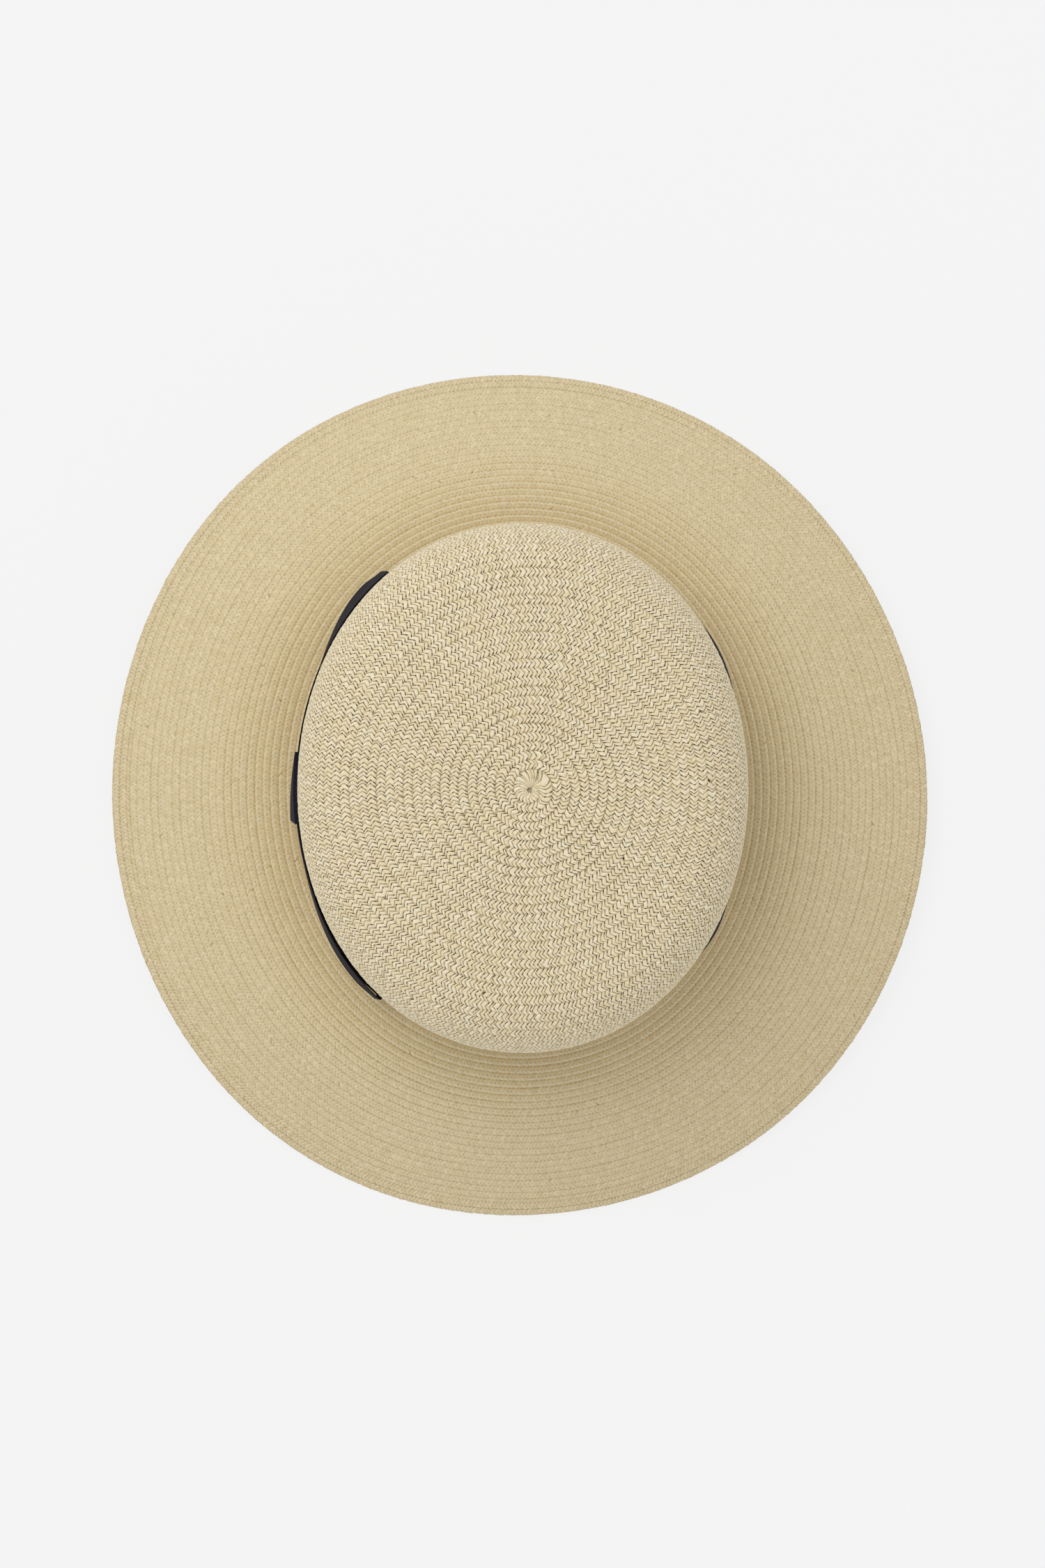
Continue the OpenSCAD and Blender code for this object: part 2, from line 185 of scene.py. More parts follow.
def thread_object(name: str, paths: np.ndarray, diameter: float, sides: int = 8) -> bpy.types.Object:
    """Makes one piece of many short threads with rounded ends.

    Args:
        name: The piece's name.
        paths: The threads' middle lines, of shape (threads, points, 3).
        diameter: The thread's thickness.
        sides: How many sides a thread has.

    Returns:
        The new object.
    """
    count, points = paths.shape[:2]
    along = unit(np.gradient(paths, axis=1))
    radial = unit(paths * np.array([1.0, 1.0, 0.0]))
    side = unit(np.cross(along, radial))
    up = np.cross(side, along)
    place = np.linspace(-1, 1, points)
    radius = diameter / 2 * np.sqrt(np.clip(1 - np.abs(place) ** 5, 0.06, 1))
    a = np.arange(sides) * TAU / sides
    ring = np.cos(a)[None, None, :, None] * side[:, :, None] + np.sin(a)[None, None, :, None] * up[:, :, None]
    grid = paths[:, :, None] + radius[None, :, None, None] * ring
    one = np.arange((points - 1) * sides).reshape(points - 1, sides)
    after = np.roll(one, -1, axis=1)
    quads = np.stack([one, after, after + sides, one + sides], -1).reshape(-1, 4)
    c = np.arange(sides // 2 - 1)
    lid = np.stack([c, sides - 1 - c, sides - 2 - c, c + 1], 1)
    quads = np.concatenate([quads, lid, lid[:, ::-1] + (points - 1) * sides])
    shift = np.arange(count)[:, None, None] * points * sides
    quads = (quads[None] + shift).reshape(-1, 4)
    cell = 1 / count
    corner = np.array([(0.1, 0.1), (0.9, 0.1), (0.9, 0.9), (0.1, 0.9)]) * [cell, 1.0]
    uv = np.repeat(np.arange(count), len(quads) // count)[:, None, None] * np.array([cell, 0.0]) + corner
    return mesh_object(name, grid.reshape(-1, 3), quads[:, ::-1], uv.reshape(-1, 2))


def keep(obj: bpy.types.Object, material: bpy.types.Material, slot: str,
         *nodes: str) -> bpy.types.Object:
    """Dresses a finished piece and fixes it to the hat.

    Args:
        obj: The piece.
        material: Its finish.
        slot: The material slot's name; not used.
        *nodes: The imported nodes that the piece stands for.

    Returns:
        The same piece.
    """
    obj.data.materials.clear()
    obj.data.materials.append(material)
    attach(obj, ROOT)
    if nodes:
        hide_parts(*nodes)
    LOG.info("%s: %d faces", obj.name, len(obj.data.polygons))
    return obj


# ---------------------------------------------------------------- the hat's shape


@dataclass
class HatShape:
    """The middle surface of the hat's wall, from the start of the braid to the brim's edge.

    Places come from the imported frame; the sizes below are the hat-maker's own. Each of the edge's waves
    is a share of its wander, a number of waves round the hat, and a turn in degrees.
    """

    wall: float = 1.5 * MM
    fullness: float = 0.008
    crown_taper: float = 3.4 * MM
    shoulder_r: float = 24 * MM
    shoulder_turn: float = math.radians(80)
    dome_h: float = 5.5 * MM
    start_offset: tuple[float, float] = (2.9 * MM, -0.2 * MM)
    brim_r: float = 166 * MM
    brim_long: float = 3.4 * MM
    brim_axis: float = math.radians(95)
    edge_wander: float = 0.6 * MM
    edge_waves: tuple[tuple[float, int, float], ...] = ((0.9, 1, 172), (0.9, 3, 3),
                                                        (0.6, 4, 41), (0.45, 6, -3))
    edge_fold_t: float = 0.9 * MM
    brim_drop: float = 52 * MM
    side_lift: float = 11 * MM
    first_slope: float = 0.78
    turn_r: float = 4 * MM
    row_pitch: float = 3.32 * MM
    crown_rows: int = 53
    brim_rows: int = 26
    even_rows: int = 20
    columns: int = 1440
    steps_per_row: int = 8
    tip_steps: int = 60
    shoulder_steps: int = 30
    side_steps: int = 12
    turn_steps: int = 18
    brim_steps: int = 60
    edge_t: float = field(init=False)
    middle: np.ndarray = field(init=False)
    half: np.ndarray = field(init=False)
    foot_z: float = field(init=False)
    shoulder_z: float = field(init=False)
    tip_z: float = field(init=False)
    rows: int = field(init=False)
    points: np.ndarray = field(init=False)
    normals: np.ndarray = field(init=False)

    def __post_init__(self) -> None:
        """Reads the hat's places from the frame and tabulates its surface."""
        low, high = (np.array(corner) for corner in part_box("crown_side"))
        self.middle = (low[:2] + high[:2]) / 2
        self.half = (high[:2] - low[:2]) / 2 - self.wall / 2
        self.foot_z, self.shoulder_z = low[2], high[2]
        self.tip_z = self.shoulder_z + self.shoulder_r * math.sin(self.shoulder_turn)
        self.edge_t = self.wall + 2 * self.edge_fold_t
        self.rows = self.crown_rows + self.brim_rows
        self._tabulate()

    def oval(self, t: np.ndarray) -> np.ndarray:
        """Returns the middle of the crown's wall at its foot, for each angle t."""
        f = 1 + self.fullness * np.sin(2 * t) ** 2
        return self.middle + np.stack([self.half[0] * np.cos(t) * f, self.half[1] * np.sin(t) * f], -1)

    def outward(self, t: np.ndarray) -> np.ndarray:
        """Returns the direction square to the oval, for each angle t."""
        d = self.oval(t + TICK) - self.oval(t - TICK)
        return unit(np.stack([d[..., 1], -d[..., 0]], -1))

    def lean(self, z: np.ndarray) -> np.ndarray:
        """Returns how far the crown's side has leaned in at height z."""
        return self.crown_taper * (z - self.foot_z) / (self.shoulder_z - self.foot_z)

    def beside(self, t: np.ndarray, h: np.ndarray | float, z: np.ndarray | float) -> np.ndarray:
        """Returns points beside the crown's side.

        Args:
            t: Angles round the oval.
            h: Distances outward from the middle of the wall.
            z: Heights.

        Returns:
            The points, with a last axis of three.
        """
        t, h, z = np.broadcast_arrays(np.asarray(t, float), h, z)
        flat = self.oval(t) + (h - self.lean(z))[..., None] * self.outward(t)
        return np.concatenate([flat, z[..., None]], -1)

    def pace(self, t: float) -> float:
        """Returns the oval's length for each radian at angle t."""
        step = self.oval(np.array(t + TICK)) - self.oval(np.array(t - TICK))
        return float(np.linalg.norm(step)) / (2 * TICK)

    def edge_radius(self, t: np.ndarray) -> np.ndarray:
        """Finds how far the end of the brim's braid is from the middle of the hat.

        Args:
            t: Angles.

        Returns:
            The distance at each angle.
        """
        wander = sum(size * np.cos(n * t + math.radians(n * turn)) for size, n, turn in self.edge_waves)
        oval = self.brim_r + self.brim_long * np.cos(2 * (t - self.brim_axis))
        return oval + self.edge_wander * wander - self.edge_t / 2

    def edge_z(self, t: np.ndarray) -> np.ndarray:
        """Returns the height of the middle of the brim's edge, which lifts at both sides."""
        return self.edge_t / 2 + self.side_lift * smooth(np.abs(np.cos(t)), 0.35, 1.0)

    def brim_mid(self, t: np.ndarray, v: np.ndarray) -> np.ndarray:
        """Returns the brim's middle surface.

        Args:
            t: Angles.
            v: Places across the brim: -1 to 0 in the turn at the crown, and 0 to 1 on the slope.

        Returns:
            The points, with a last axis of three.
        """
        t, v = np.broadcast_arrays(t, v)
        inner = self.oval(t)
        outer = self.edge_radius(t)[..., None] * np.stack([np.cos(t), np.sin(t)], -1)
        drop = self.brim_drop - self.edge_z(t)
        bend = 1 - self.first_slope

        def height(u: np.ndarray) -> np.ndarray:
            """Returns the slope's height u of the way out."""
            return self.brim_drop - drop * (self.first_slope * u + bend * u * u)

        u_turn = self.turn_r / np.linalg.norm(outer - inner, axis=-1)
        w = v + 1
        u = np.where(v < 0, u_turn * w * w, u_turn + (1 - u_turn) * v)
        z_end = height(u_turn)
        z_bend = z_end + drop * (self.first_slope + 2 * bend * u_turn) * u_turn
        z_turn = self.foot_z * (1 - w) ** 2 + z_bend * 2 * w * (1 - w) + z_end * w * w
        z = np.where(v < 0, z_turn, height(u))
        flat = inner + u[..., None] * (outer - inner)
        return np.concatenate([flat, z[..., None]], -1)

    def _lines(self) -> tuple[np.ndarray, int]:
        """Draws the middle of the wall at each angle, from the start of the braid to the brim's edge.

        Returns:
            The points of each line, and the number of the point at the crown's foot.
        """
        t = (np.arange(self.columns + 1) * TAU / self.columns)[:, None]
        out = self.outward(t[:, 0])
        shoulder_in = self.crown_taper + self.shoulder_r * (1 - math.cos(self.shoulder_turn))
        rim = self.oval(t[:, 0]) - shoulder_in * out
        start = self.middle + np.array(self.start_offset)
        k = np.linspace(0, 1, self.tip_steps)[None, :]
        tip_flat = start + k[..., None] * (rim - start)[:, None, :]
        tip_height = np.broadcast_to(self.tip_z + self.dome_h * (1 - k * k), tip_flat.shape[:2])
        tip = np.concatenate([tip_flat, tip_height[..., None]], -1)
        a = np.linspace(self.shoulder_turn, 0, self.shoulder_steps)[None, 1:]
        inset = self.crown_taper + self.shoulder_r * (1 - np.cos(a))
        turn_flat = self.oval(t[:, 0])[:, None, :] - inset[..., None] * out[:, None, :]
        turn_height = np.broadcast_to(self.shoulder_z + self.shoulder_r * np.sin(a), turn_flat.shape[:2])
        shoulder = np.concatenate([turn_flat, turn_height[..., None]], -1)
        z = np.linspace(self.shoulder_z, self.foot_z, self.side_steps)[None, 1:]
        side = self.beside(t, 0.0, z)
        v = np.concatenate([np.linspace(-1, 0, self.turn_steps)[1:], np.linspace(0, 1, self.brim_steps)[1:]])
        brim = self.brim_mid(t, v[None, :])
        foot_index = tip.shape[1] + shoulder.shape[1] + side.shape[1] - 1
        return np.concatenate([tip, shoulder, side, brim], 1), foot_index

    def _tabulate(self) -> None:
        """Fills the table of points and directions by angle and row."""
        line, foot_index = self._lines()
        step = np.linalg.norm(np.diff(line, axis=1), axis=-1)
        arc = np.concatenate([np.zeros((len(line), 1)), np.cumsum(step, 1)], 1)
        rows = np.arange(self.rows * self.steps_per_row + 1) / self.steps_per_row
        even = smooth(rows, self.even_rows, self.crown_rows)
        table = np.empty((len(line), len(rows), 3))
        for i in range(len(line)):
            crown_arc = arc[i, foot_index]
            on_crown = (1 - even) * self.row_pitch * rows + even * crown_arc * rows / self.crown_rows
            brim_arc = arc[i, -1] - crown_arc
            on_brim = crown_arc + brim_arc * (rows - self.crown_rows) / self.brim_rows
            wanted = np.where(rows <= self.crown_rows, on_crown, on_brim)
            for axis in range(3):
                table[i, :, axis] = np.interp(wanted, arc[i], line[i, :, axis])
        down = np.gradient(table, axis=1)
        ahead = np.empty_like(table)
        ahead[1:-1] = table[2:] - table[:-2]
        ahead[0] = ahead[-1] = table[1] - table[-2]
        normal = np.cross(down, ahead)
        normal[:, :2] = (0, 0, 1)
        self.points, self.normals = table, unit(normal)

    def place(self, t: np.ndarray, row: np.ndarray, h: np.ndarray | float) -> np.ndarray:
        """Finds points on the braid by angle and row.

        Args:
            t: Angles in radians, in any turn.
            row: Rows counted from the start of the braid.
            h: Heights above the middle of the wall.

        Returns:
            The points, with a last axis of three.
        """
        x = np.mod(t, TAU) / TAU * self.columns
        y = np.clip(row, 0, self.rows) * self.steps_per_row
        i = np.minimum(x.astype(int), self.columns - 1)
        j = np.minimum(y.astype(int), self.points.shape[1] - 2)
        fx, fy = (x - i)[..., None], (y - j)[..., None]

        def mix(table: np.ndarray) -> np.ndarray:
            """Mixes a table's four nearest entries for each place.

            Args:
                table: The table, by angle and row.

            Returns:
                The values.
            """
            near = table[i, j] * (1 - fy) + table[i, j + 1] * fy
            far = table[i + 1, j] * (1 - fy) + table[i + 1, j + 1] * fy
            return near * (1 - fx) + far * fx

        return mix(self.points) + np.asarray(h)[..., None] * mix(self.normals)


# ---------------------------------------------------------------- finishes


MIX_INPUTS = (0, 6, 7)  # the places of a mix node's share and its two colours
MIX_OUTPUT = 2


@dataclass(frozen=True)
class PlaitPlace:
    """Where on the plait a point lies: the stitch number, the place across the row, and the row number."""

    stitch: bpy.types.NodeSocket
    across: bpy.types.NodeSocket
    row: bpy.types.NodeSocket


class NodeSheet:
    """A small helper that lays out the shader nodes of a material or a world.

    Its methods take sockets, nodes, which stand for their first output, and plain values.
    """

    def __init__(self, owner: bpy.types.Material | bpy.types.World, shader: str = "Principled BSDF") -> None:
        """Turns on the owner's nodes and finds its shader.

        Args:
            owner: The material or world.
            shader: The name of the shader that it starts with.
        """
        owner.use_nodes = True
        self.nodes = owner.node_tree.nodes
        self.links = owner.node_tree.links
        self.shader = self.nodes[shader]

    def feed(self, target: bpy.types.NodeSocket, source: object) -> None:
        """Links a source to a target, or sets the target to a plain value.

        Args:
            target: The input to feed.
            source: A node, a socket or a plain value.
        """
        if isinstance(source, bpy.types.Node):
            source = source.outputs[0]
        if isinstance(source, bpy.types.NodeSocket):
            self.links.new(source, target)
        else:
            target.default_value = source

    def new(self, kind: str, *sources: object) -> bpy.types.Node:
        """Adds a node and feeds its first inputs.

        Args:
            kind: The node's type, without its prefix.
            *sources: What each input gets, in order.

        Returns:
            The node.
        """
        node = self.nodes.new("ShaderNode" + kind)
        for target, source in zip(node.inputs, sources):
            self.feed(target, source)
        return node

    def finish(self, inputs: dict[str, object]) -> None:
        """Feeds the shader's named inputs."""
        for name, source in inputs.items():
            self.feed(self.shader.inputs[name], source)

    def math(self, operation: str, a: object, b: object = 0.0) -> bpy.types.Node:
        """Does a sum.

        Args:
            operation: The operation's name.
            a: Its first value.
            b: Its second value, where it has one.

        Returns:
            The node with the result.
        """
        node = self.new("Math", a, b)
        node.operation = operation
        return node

    def product(self, first: object, *others: object) -> object:
        """Multiplies values.

        Args:
            first: The first value.
            *others: The values that it is multiplied by, in order.

        Returns:
            The product.
        """
        for value in others:
            first = self.math("MULTIPLY", first, value)
        return first

    def ramp(self, x: object, low: float, high: float, to_low: float = 0.0,
             to_high: float = 1.0) -> bpy.types.Node:
        """Makes a smooth ramp.

        Args:
            x: The value to ramp.
            low: The value of x where the ramp starts.
            high: The value of x where it ends.
            to_low: The result up to low.
            to_high: The result from high on.

        Returns:
            The node with the result.
        """
        node = self.new("MapRange", x, low, high, to_low, to_high)
        node.interpolation_type = "SMOOTHSTEP"
        return node

    def band(self, x: object, a: float, b: float, c: float, d: float, height: float = 1.0) -> bpy.types.Node:
        """Returns the height where x is between b and c, and 0 where it is under a or over d."""
        return self.math("MULTIPLY", self.ramp(x, a, b), self.ramp(x, c, d, height, 0.0))

    def mix(self, share: object, a: object, b: object) -> bpy.types.NodeSocket:
        """Mixes two colours.

        Args:
            share: The share of b, from 0 to 1.
            a: The first colour.
            b: The second colour.

        Returns:
            The mixed colour.
        """
        node = self.new("Mix")
        node.data_type = "RGBA"
        for place, source in zip(MIX_INPUTS, (share, a, b)):
            self.feed(node.inputs[place], source)
        return node.outputs[MIX_OUTPUT]

    def noise(self, scale: float, detail: float, vector: object = None) -> bpy.types.NodeSocket:
        """Makes a noise texture.

        Args:
            scale: How many features fit in one unit of the vector.
            detail: How many finer layers are added.
            vector: Where to look in the texture, or nothing for the place on the object.

        Returns:
            The texture's strength.
        """
        if vector is None:
            vector = self.new("TexCoord").outputs["Object"]
        node = self.new("TexNoise", vector)
        node.inputs["Scale"].default_value = scale
        node.inputs["Detail"].default_value = detail
        return node.outputs[0]

    def vector(self, x: object, y: object, z: object) -> bpy.types.Node:
        """Returns a vector built from three values."""
        return self.new("CombineXYZ", x, y, z)

    def chance(self, vector: object) -> bpy.types.NodeSocket:
        """Draws a random value for each vector.

        Args:
            vector: The vector to draw for.

        Returns:
            The value, from 0 to 1.
        """
        node = self.new("TexWhiteNoise", vector)
        node.noise_dimensions = "3D"
        return node.outputs["Value"]

    def bump(self, height: object, distance: float) -> None:
        """Adds a bump to the shader.

        Args:
            height: How high each point stands, as a share of the distance.
            distance: The bump's height in metres.
        """
        node = self.new("Bump")
        node.inputs["Strength"].default_value = 1.0
        node.inputs["Distance"].default_value = distance
        self.feed(node.inputs["Height"], height)
        self.feed(self.shader.inputs["Normal"], node)

    def plait(self) -> PlaitPlace:
        """Reads where on the plait each point lies.

        Returns:
            The place.
        """
        node = self.new("Attribute")
        node.attribute_name = PLAIT
        return PlaitPlace(*self.new("SeparateXYZ", node.outputs["Vector"]).outputs)

    def seen(self) -> bpy.types.Node:
        """Tells what is seen from what only lights the scene.

        Returns:
            1 for what the camera sees straight, mirrored or through something clear.
        """
        path = self.new("LightPath").outputs
        through = self.math("MAXIMUM", path["Is Glossy Ray"], path["Is Transmission Ray"])
        return self.math("MAXIMUM", path["Is Camera Ray"], through)

    def blend(self, share: object, other: bpy.types.Node, output: str) -> None:
        """Shows a mix of the shader and a share of another one at the named output node."""
        node = self.new("MixShader", share, self.shader, other)
        self.feed(self.nodes[output].inputs["Surface"], node)


@dataclass(frozen=True)
class Finish:
    """A named finish that lays out its own nodes."""

    name: str

    def build(self) -> bpy.types.Material:
        """Makes the material.

        Returns:
            The material.
        """
        material = bpy.data.materials.new(self.name)
        self.lay(NodeSheet(material))
        return material

    def lay(self, s: NodeSheet) -> None:
        """Lays out the finish's nodes."""
        raise NotImplementedError


@dataclass(frozen=True)
class SlitShade:
    """One kind of slit between two strands, painted dark as the shade that falls into it.

    Width is where it fades, as a share of a strand; zone is where it starts and stops across the row;
    darkness is its range from slit to slit, drawn with its own seed.
    """

    width: tuple[float, float]
    zone: tuple[float, float, float, float]
    darkness: tuple[float, float]
    seed: float


@dataclass(frozen=True)
class PaperBraid(Finish):
    """Matt natural paper straw, with each strand's own tint and painted shade in the slits between strands.

    Painted shade also darkens each strand's edges, the seams between rows and the rows round the crown's
    foot, and a painted highlight lightens the rows' raised edges there. Depths and shares are from 0 to 1.
    The foot is the pair of rows over which the crown ends.
    """

    name: str = "paper_braid_crown"
    strand: Colour = srgb(242, 225, 188)
    # Also the colour of the painted highlight on the rows' raised edges near the crown.
    pale: Colour = srgb(251, 240, 210)
    yellow: Colour = srgb(236, 223, 170)
    pink: Colour = srgb(240, 216, 192)
    fibre: Colour = srgb(188, 170, 126)
    # Painted shade in the gaps between strands.
    slit: Colour = srgb(62, 50, 26)
    # The thin olive line of painted shadow in the seams between rows.
    line: Colour = srgb(150, 140, 86)
    thread: Colour = srgb(226, 216, 210)
    # Painted shade at each strand's edges.
    edge: Colour = srgb(166, 146, 104)
    # On the braid, a darker tan for painted shade round the crown's foot and in the rows' inner grooves
    # there.
    worn_and_shaded: Colour = srgb(192, 161, 98)
    slit_shade_depth: float = 0.95
    side_depth: float = 0.5
    seam_shadow_depth: float = 0.6
    thread_share: float = 0.4
    patch: float = 0.2
    edge_shade: float = 0.7
    # Share of the painted shade round the crown's foot.
    crown_foot_shade: float = 0.0
    # Share of the painted highlight on the rows' raised edges and the painted shade in their grooves near the
    # crown.
    ridge_highlight_and_shade: float = 0.0
    roughness: float = 0.62
    sheen: float = 0.1
    glint: float = 0.3
    foot: tuple[float, float] = (50.0, 52.0)
    thread_at: float = 0.47
    slits: tuple[SlitShade, ...] = (
        SlitShade(width=(0.1, 0.19), zone=(0.0, 0.04, 0.18, 0.3), darkness=(0.4, 1.05), seed=3.0),
        SlitShade(width=(0.04, 0.11), zone=(0.3, 0.45, 0.9, 0.96), darkness=(0.1, 0.6), seed=5.0),
        SlitShade(width=(0.1, 0.2), zone=(0.47, 0.53, 0.6, 0.7), darkness=(0.0, 1.0), seed=7.0),
        SlitShade(width=(0.1, 0.2), zone=(0.8, 0.86, 0.94, 1.0), darkness=(0.0, 1.0), seed=9.0))

    def lay(self, s: NodeSheet) -> None:
        """Lays out the plait's strands, slits and sewing thread.

        Args:
            s: The material's nodes.
        """
        place = s.plait()
        across, row = place.across, place.row
        fibre = s.noise(1.0, 3.0, s.vector(s.product(place.stitch, 9.0), s.product(across, 3.0), row))
        tint = s.mix(s.ramp(fibre, 0.35, 0.75, 0.0, 0.25), self._tints(s, place), self.fibre)
        # Painted shade darkens each strand towards its edges, less on the row's outer half and near the
        # start.
        shade = s.product(s.ramp(self._border(s, place), 0.05, 0.24, self.edge_shade, 0.0),
                          s.ramp(row, 0.3, 1.6, 0.3, 1.0), s.ramp(across, 0.4, 0.55, 1.0, 0.75))
        tint = s.mix(shade, tint, self.edge)
        # Painted shade darkens the rows round the crown's foot, where the crown's wall shades the brim.
        tint = s.mix(s.band(row, *self.foot, 54.0, 66.0, self.crown_foot_shade), tint, self.worn_and_shaded)
        # Painted shadow in the seams between rows, stronger near the start and round the crown's foot.
        near_start = s.ramp(row, 8.0, 15.0, self.seam_shadow_depth, self.seam_shadow_depth * 0.6)
        near_crown = s.band(row, *self.foot, 58.0, 70.0, self.seam_shadow_depth)
        # Near the crown, a painted highlight on the rows' raised outer edges and painted shade in their inner
        # grooves.
        ridge_highlight_and_shade = s.product(s.band(across, 0.55, 0.8, 0.92, 0.97), near_crown, self.ridge_highlight_and_shade)
        tint = s.mix(ridge_highlight_and_shade, tint, self.pale)
        groove_shade = s.product(s.ramp(across, 0.05, 0.45, 0.6, 0.0), near_crown, self.ridge_highlight_and_shade)
        tint = s.mix(groove_shade, tint, self.worn_and_shaded)
        seam = s.math("MAXIMUM", s.ramp(across, 0.95, 0.985), s.ramp(across, 0.0, 0.04, 1.0, 0.0))
        tint = s.mix(s.product(seam, s.math("MAXIMUM", near_start, near_crown)), tint, self.line)
        thread = self._thread(s, place)
        tint = s.mix(s.product(thread, self.thread_share), tint, self.thread)
        # Painted shade in the slits between strands.
        dark = self._slit_shade(s, place)
        s.finish({"Base Color": s.mix(s.product(dark, self.slit_shade_depth), tint, self.slit),
                  "Roughness": self.roughness, "Sheen Weight": self.sheen, "Specular IOR Level": self.glint})
        relief = s.math("ADD", s.product(fibre, 0.5), s.product(dark, -1.2))
        s.bump(s.math("ADD", relief, s.product(thread, 0.5)), 0.1 * MM)

    def _border(self, s: NodeSheet, place: PlaitPlace) -> object:
        """Returns how far each point is from its strand's nearer side, as a share of the strand."""
        along = s.math("FRACT", place.stitch)
        return s.math("MINIMUM", along, s.math("SUBTRACT", 1.0, along))

    def _tints(self, s: NodeSheet, place: PlaitPlace) -> object:
        """Tints each strand, with patches where the paper took the dye differently.

        Args:
            s: The material's nodes.
            place: The place on the plait.

        Returns:
            The colour.
        """
        half_row = s.math("FLOOR", s.product(place.across, 1.85))
        luck = s.chance(s.vector(s.math("FLOOR", place.stitch), half_row, 4.0))
        tint = s.mix(s.ramp(luck, 0.0, 0.6, 0.25, 1.0), self.pale, self.strand)
        tint = s.mix(s.ramp(luck, 0.8, 0.95, 0.0, 0.25), tint, self.yellow)
        for scale, low, colour in ((190.0, 0.6, self.yellow), (150.0, 0.62, self.pink)):
            tint = s.mix(s.ramp(s.noise(scale, 2.0), low, low + 0.1, 0.0, self.patch), tint, colour)
        return tint

    def _slit_shade(self, s: NodeSheet, place: PlaitPlace) -> object:
        """Paints shade into the slits: short ones at the row's inner edge, and a fine one with two dots
        further out.

        Args:
            s: The material's nodes.
            place: The place on the plait.

        Returns:
            How deep in a slit's painted shade each point lies, from 0 to 1.
        """
        border = self._border(s, place)
        side = s.math("ROUND", place.stitch)
        dark: object = 0.0
        for slit in self.slits:
            luck = s.ramp(s.chance(s.vector(side, slit.seed, 8.0)), 0.1, 0.8, *slit.darkness)
            here = s.product(s.ramp(border, *slit.width, 1.0, 0.0), s.band(place.across, *slit.zone), luck)
            dark = s.math("MAXIMUM", dark, here)
        on_side = s.ramp(place.row, 24.0, 31.0, 1.0, self.side_depth)
        return s.product(dark, on_side, s.ramp(place.row, 0.3, 1.9, 0.15, 1.0))

    def _thread(self, s: NodeSheet, place: PlaitPlace) -> object:
        """Lays the pale sewing thread, a dash over every second stitch or so.

        Args:
            s: The material's nodes.
            place: The place on the plait.

        Returns:
            Where the thread shows, from 0 to 1.
        """
        pair = s.product(place.stitch, 0.5)
        luck = s.chance(s.vector(s.math("FLOOR", pair), 2.0, 6.0))
        beside = s.math("ABSOLUTE", s.math("SUBTRACT", place.across, self.thread_at))
        return s.product(s.band(s.math("FRACT", pair), 0.08, 0.16, 0.62, 0.72), s.ramp(luck, 0.45, 0.55),
                         s.ramp(beside, 0.03, 0.07, 1.0, 0.0), s.ramp(place.row, 5.0, 8.0))


@dataclass(frozen=True)
class RibbedRibbon(Finish):
    """Dark ribbed ribbon with a low sheen and a little lint."""

    name: str = "navy_ribbon"
    colour: Colour = srgb(24, 24, 38)
    # On the ribbon, only a lighter tone from use, mixed in by noise.
    worn_and_shaded: Colour = srgb(50, 49, 66)
    dull: Colour = srgb(24, 22, 32)
    lint: Colour = srgb(140, 136, 132)
    roughness: float = 0.75
    sheen: float = 0.02
    sheen_roughness: float = 0.5
    glint: float = 0.06

    def lay(self, s: NodeSheet) -> None:
        """Lays out the ribs' lighter patches and the lint.

        Args:
            s: The material's nodes.
        """
        lint = s.noise(900.0, 4.0)
        broad = s.noise(70.0, 2.0)
        colour = s.mix(s.ramp(lint, 0.5, 0.78, 0.0, 0.5), self.colour, self.worn_and_shaded)
        colour = s.mix(s.ramp(broad, 0.4, 0.8, 0.0, 0.3), colour, self.dull)
        colour = s.mix(s.ramp(s.noise(2100.0, 1.0), 0.74, 0.8, 0.0, 0.5), colour, self.lint)
        s.finish({"Base Color": colour, "Roughness": self.roughness, "Sheen Weight": self.sheen,
                  "Sheen Roughness": self.sheen_roughness, "Specular IOR Level": self.glint})
        s.bump(lint, 0.05 * MM)


@dataclass(frozen=True)
class WovenTape(Finish):
    """Plain woven cotton tape or thread."""

    colour: Colour
    shade: Colour
    weave: float = 1400.0
    roughness: float = 0.85

    def lay(self, s: NodeSheet) -> None:
        """Lays out the weave.

        Args:
            s: The material's nodes.
        """
        weave = s.noise(self.weave, 2.0)
        broad = s.noise(45.0, 3.0)
        colour = s.mix(s.ramp(weave, 0.3, 0.7, 0.0, 0.6), self.colour, self.shade)
        colour = s.mix(s.ramp(broad, 0.45, 0.8, 0.0, 0.3), colour, self.shade)
        s.finish({"Base Color": colour, "Roughness": self.roughness})
        s.bump(weave, 0.08 * MM)


@dataclass(frozen=True)
class DrawnSteel(Finish):
    """Drawn steel wire with fine scratches."""

    name: str = "drawn_steel"
    colour: Colour = srgb(190, 192, 196)
    scratched: Colour = srgb(150, 152, 156)
    roughness: float = 0.35

    def lay(self, s: NodeSheet) -> None:
        """Lays out the scratches.

        Args:
            s: The material's nodes.
        """
        scratch = s.noise(2600.0, 2.0)
        s.finish({"Base Color": s.mix(scratch, self.colour, self.scratched), "Metallic": 1.0,
                  "Roughness": self.roughness})
        s.bump(scratch, 0.01 * MM)


# ---------------------------------------------------------------- braid


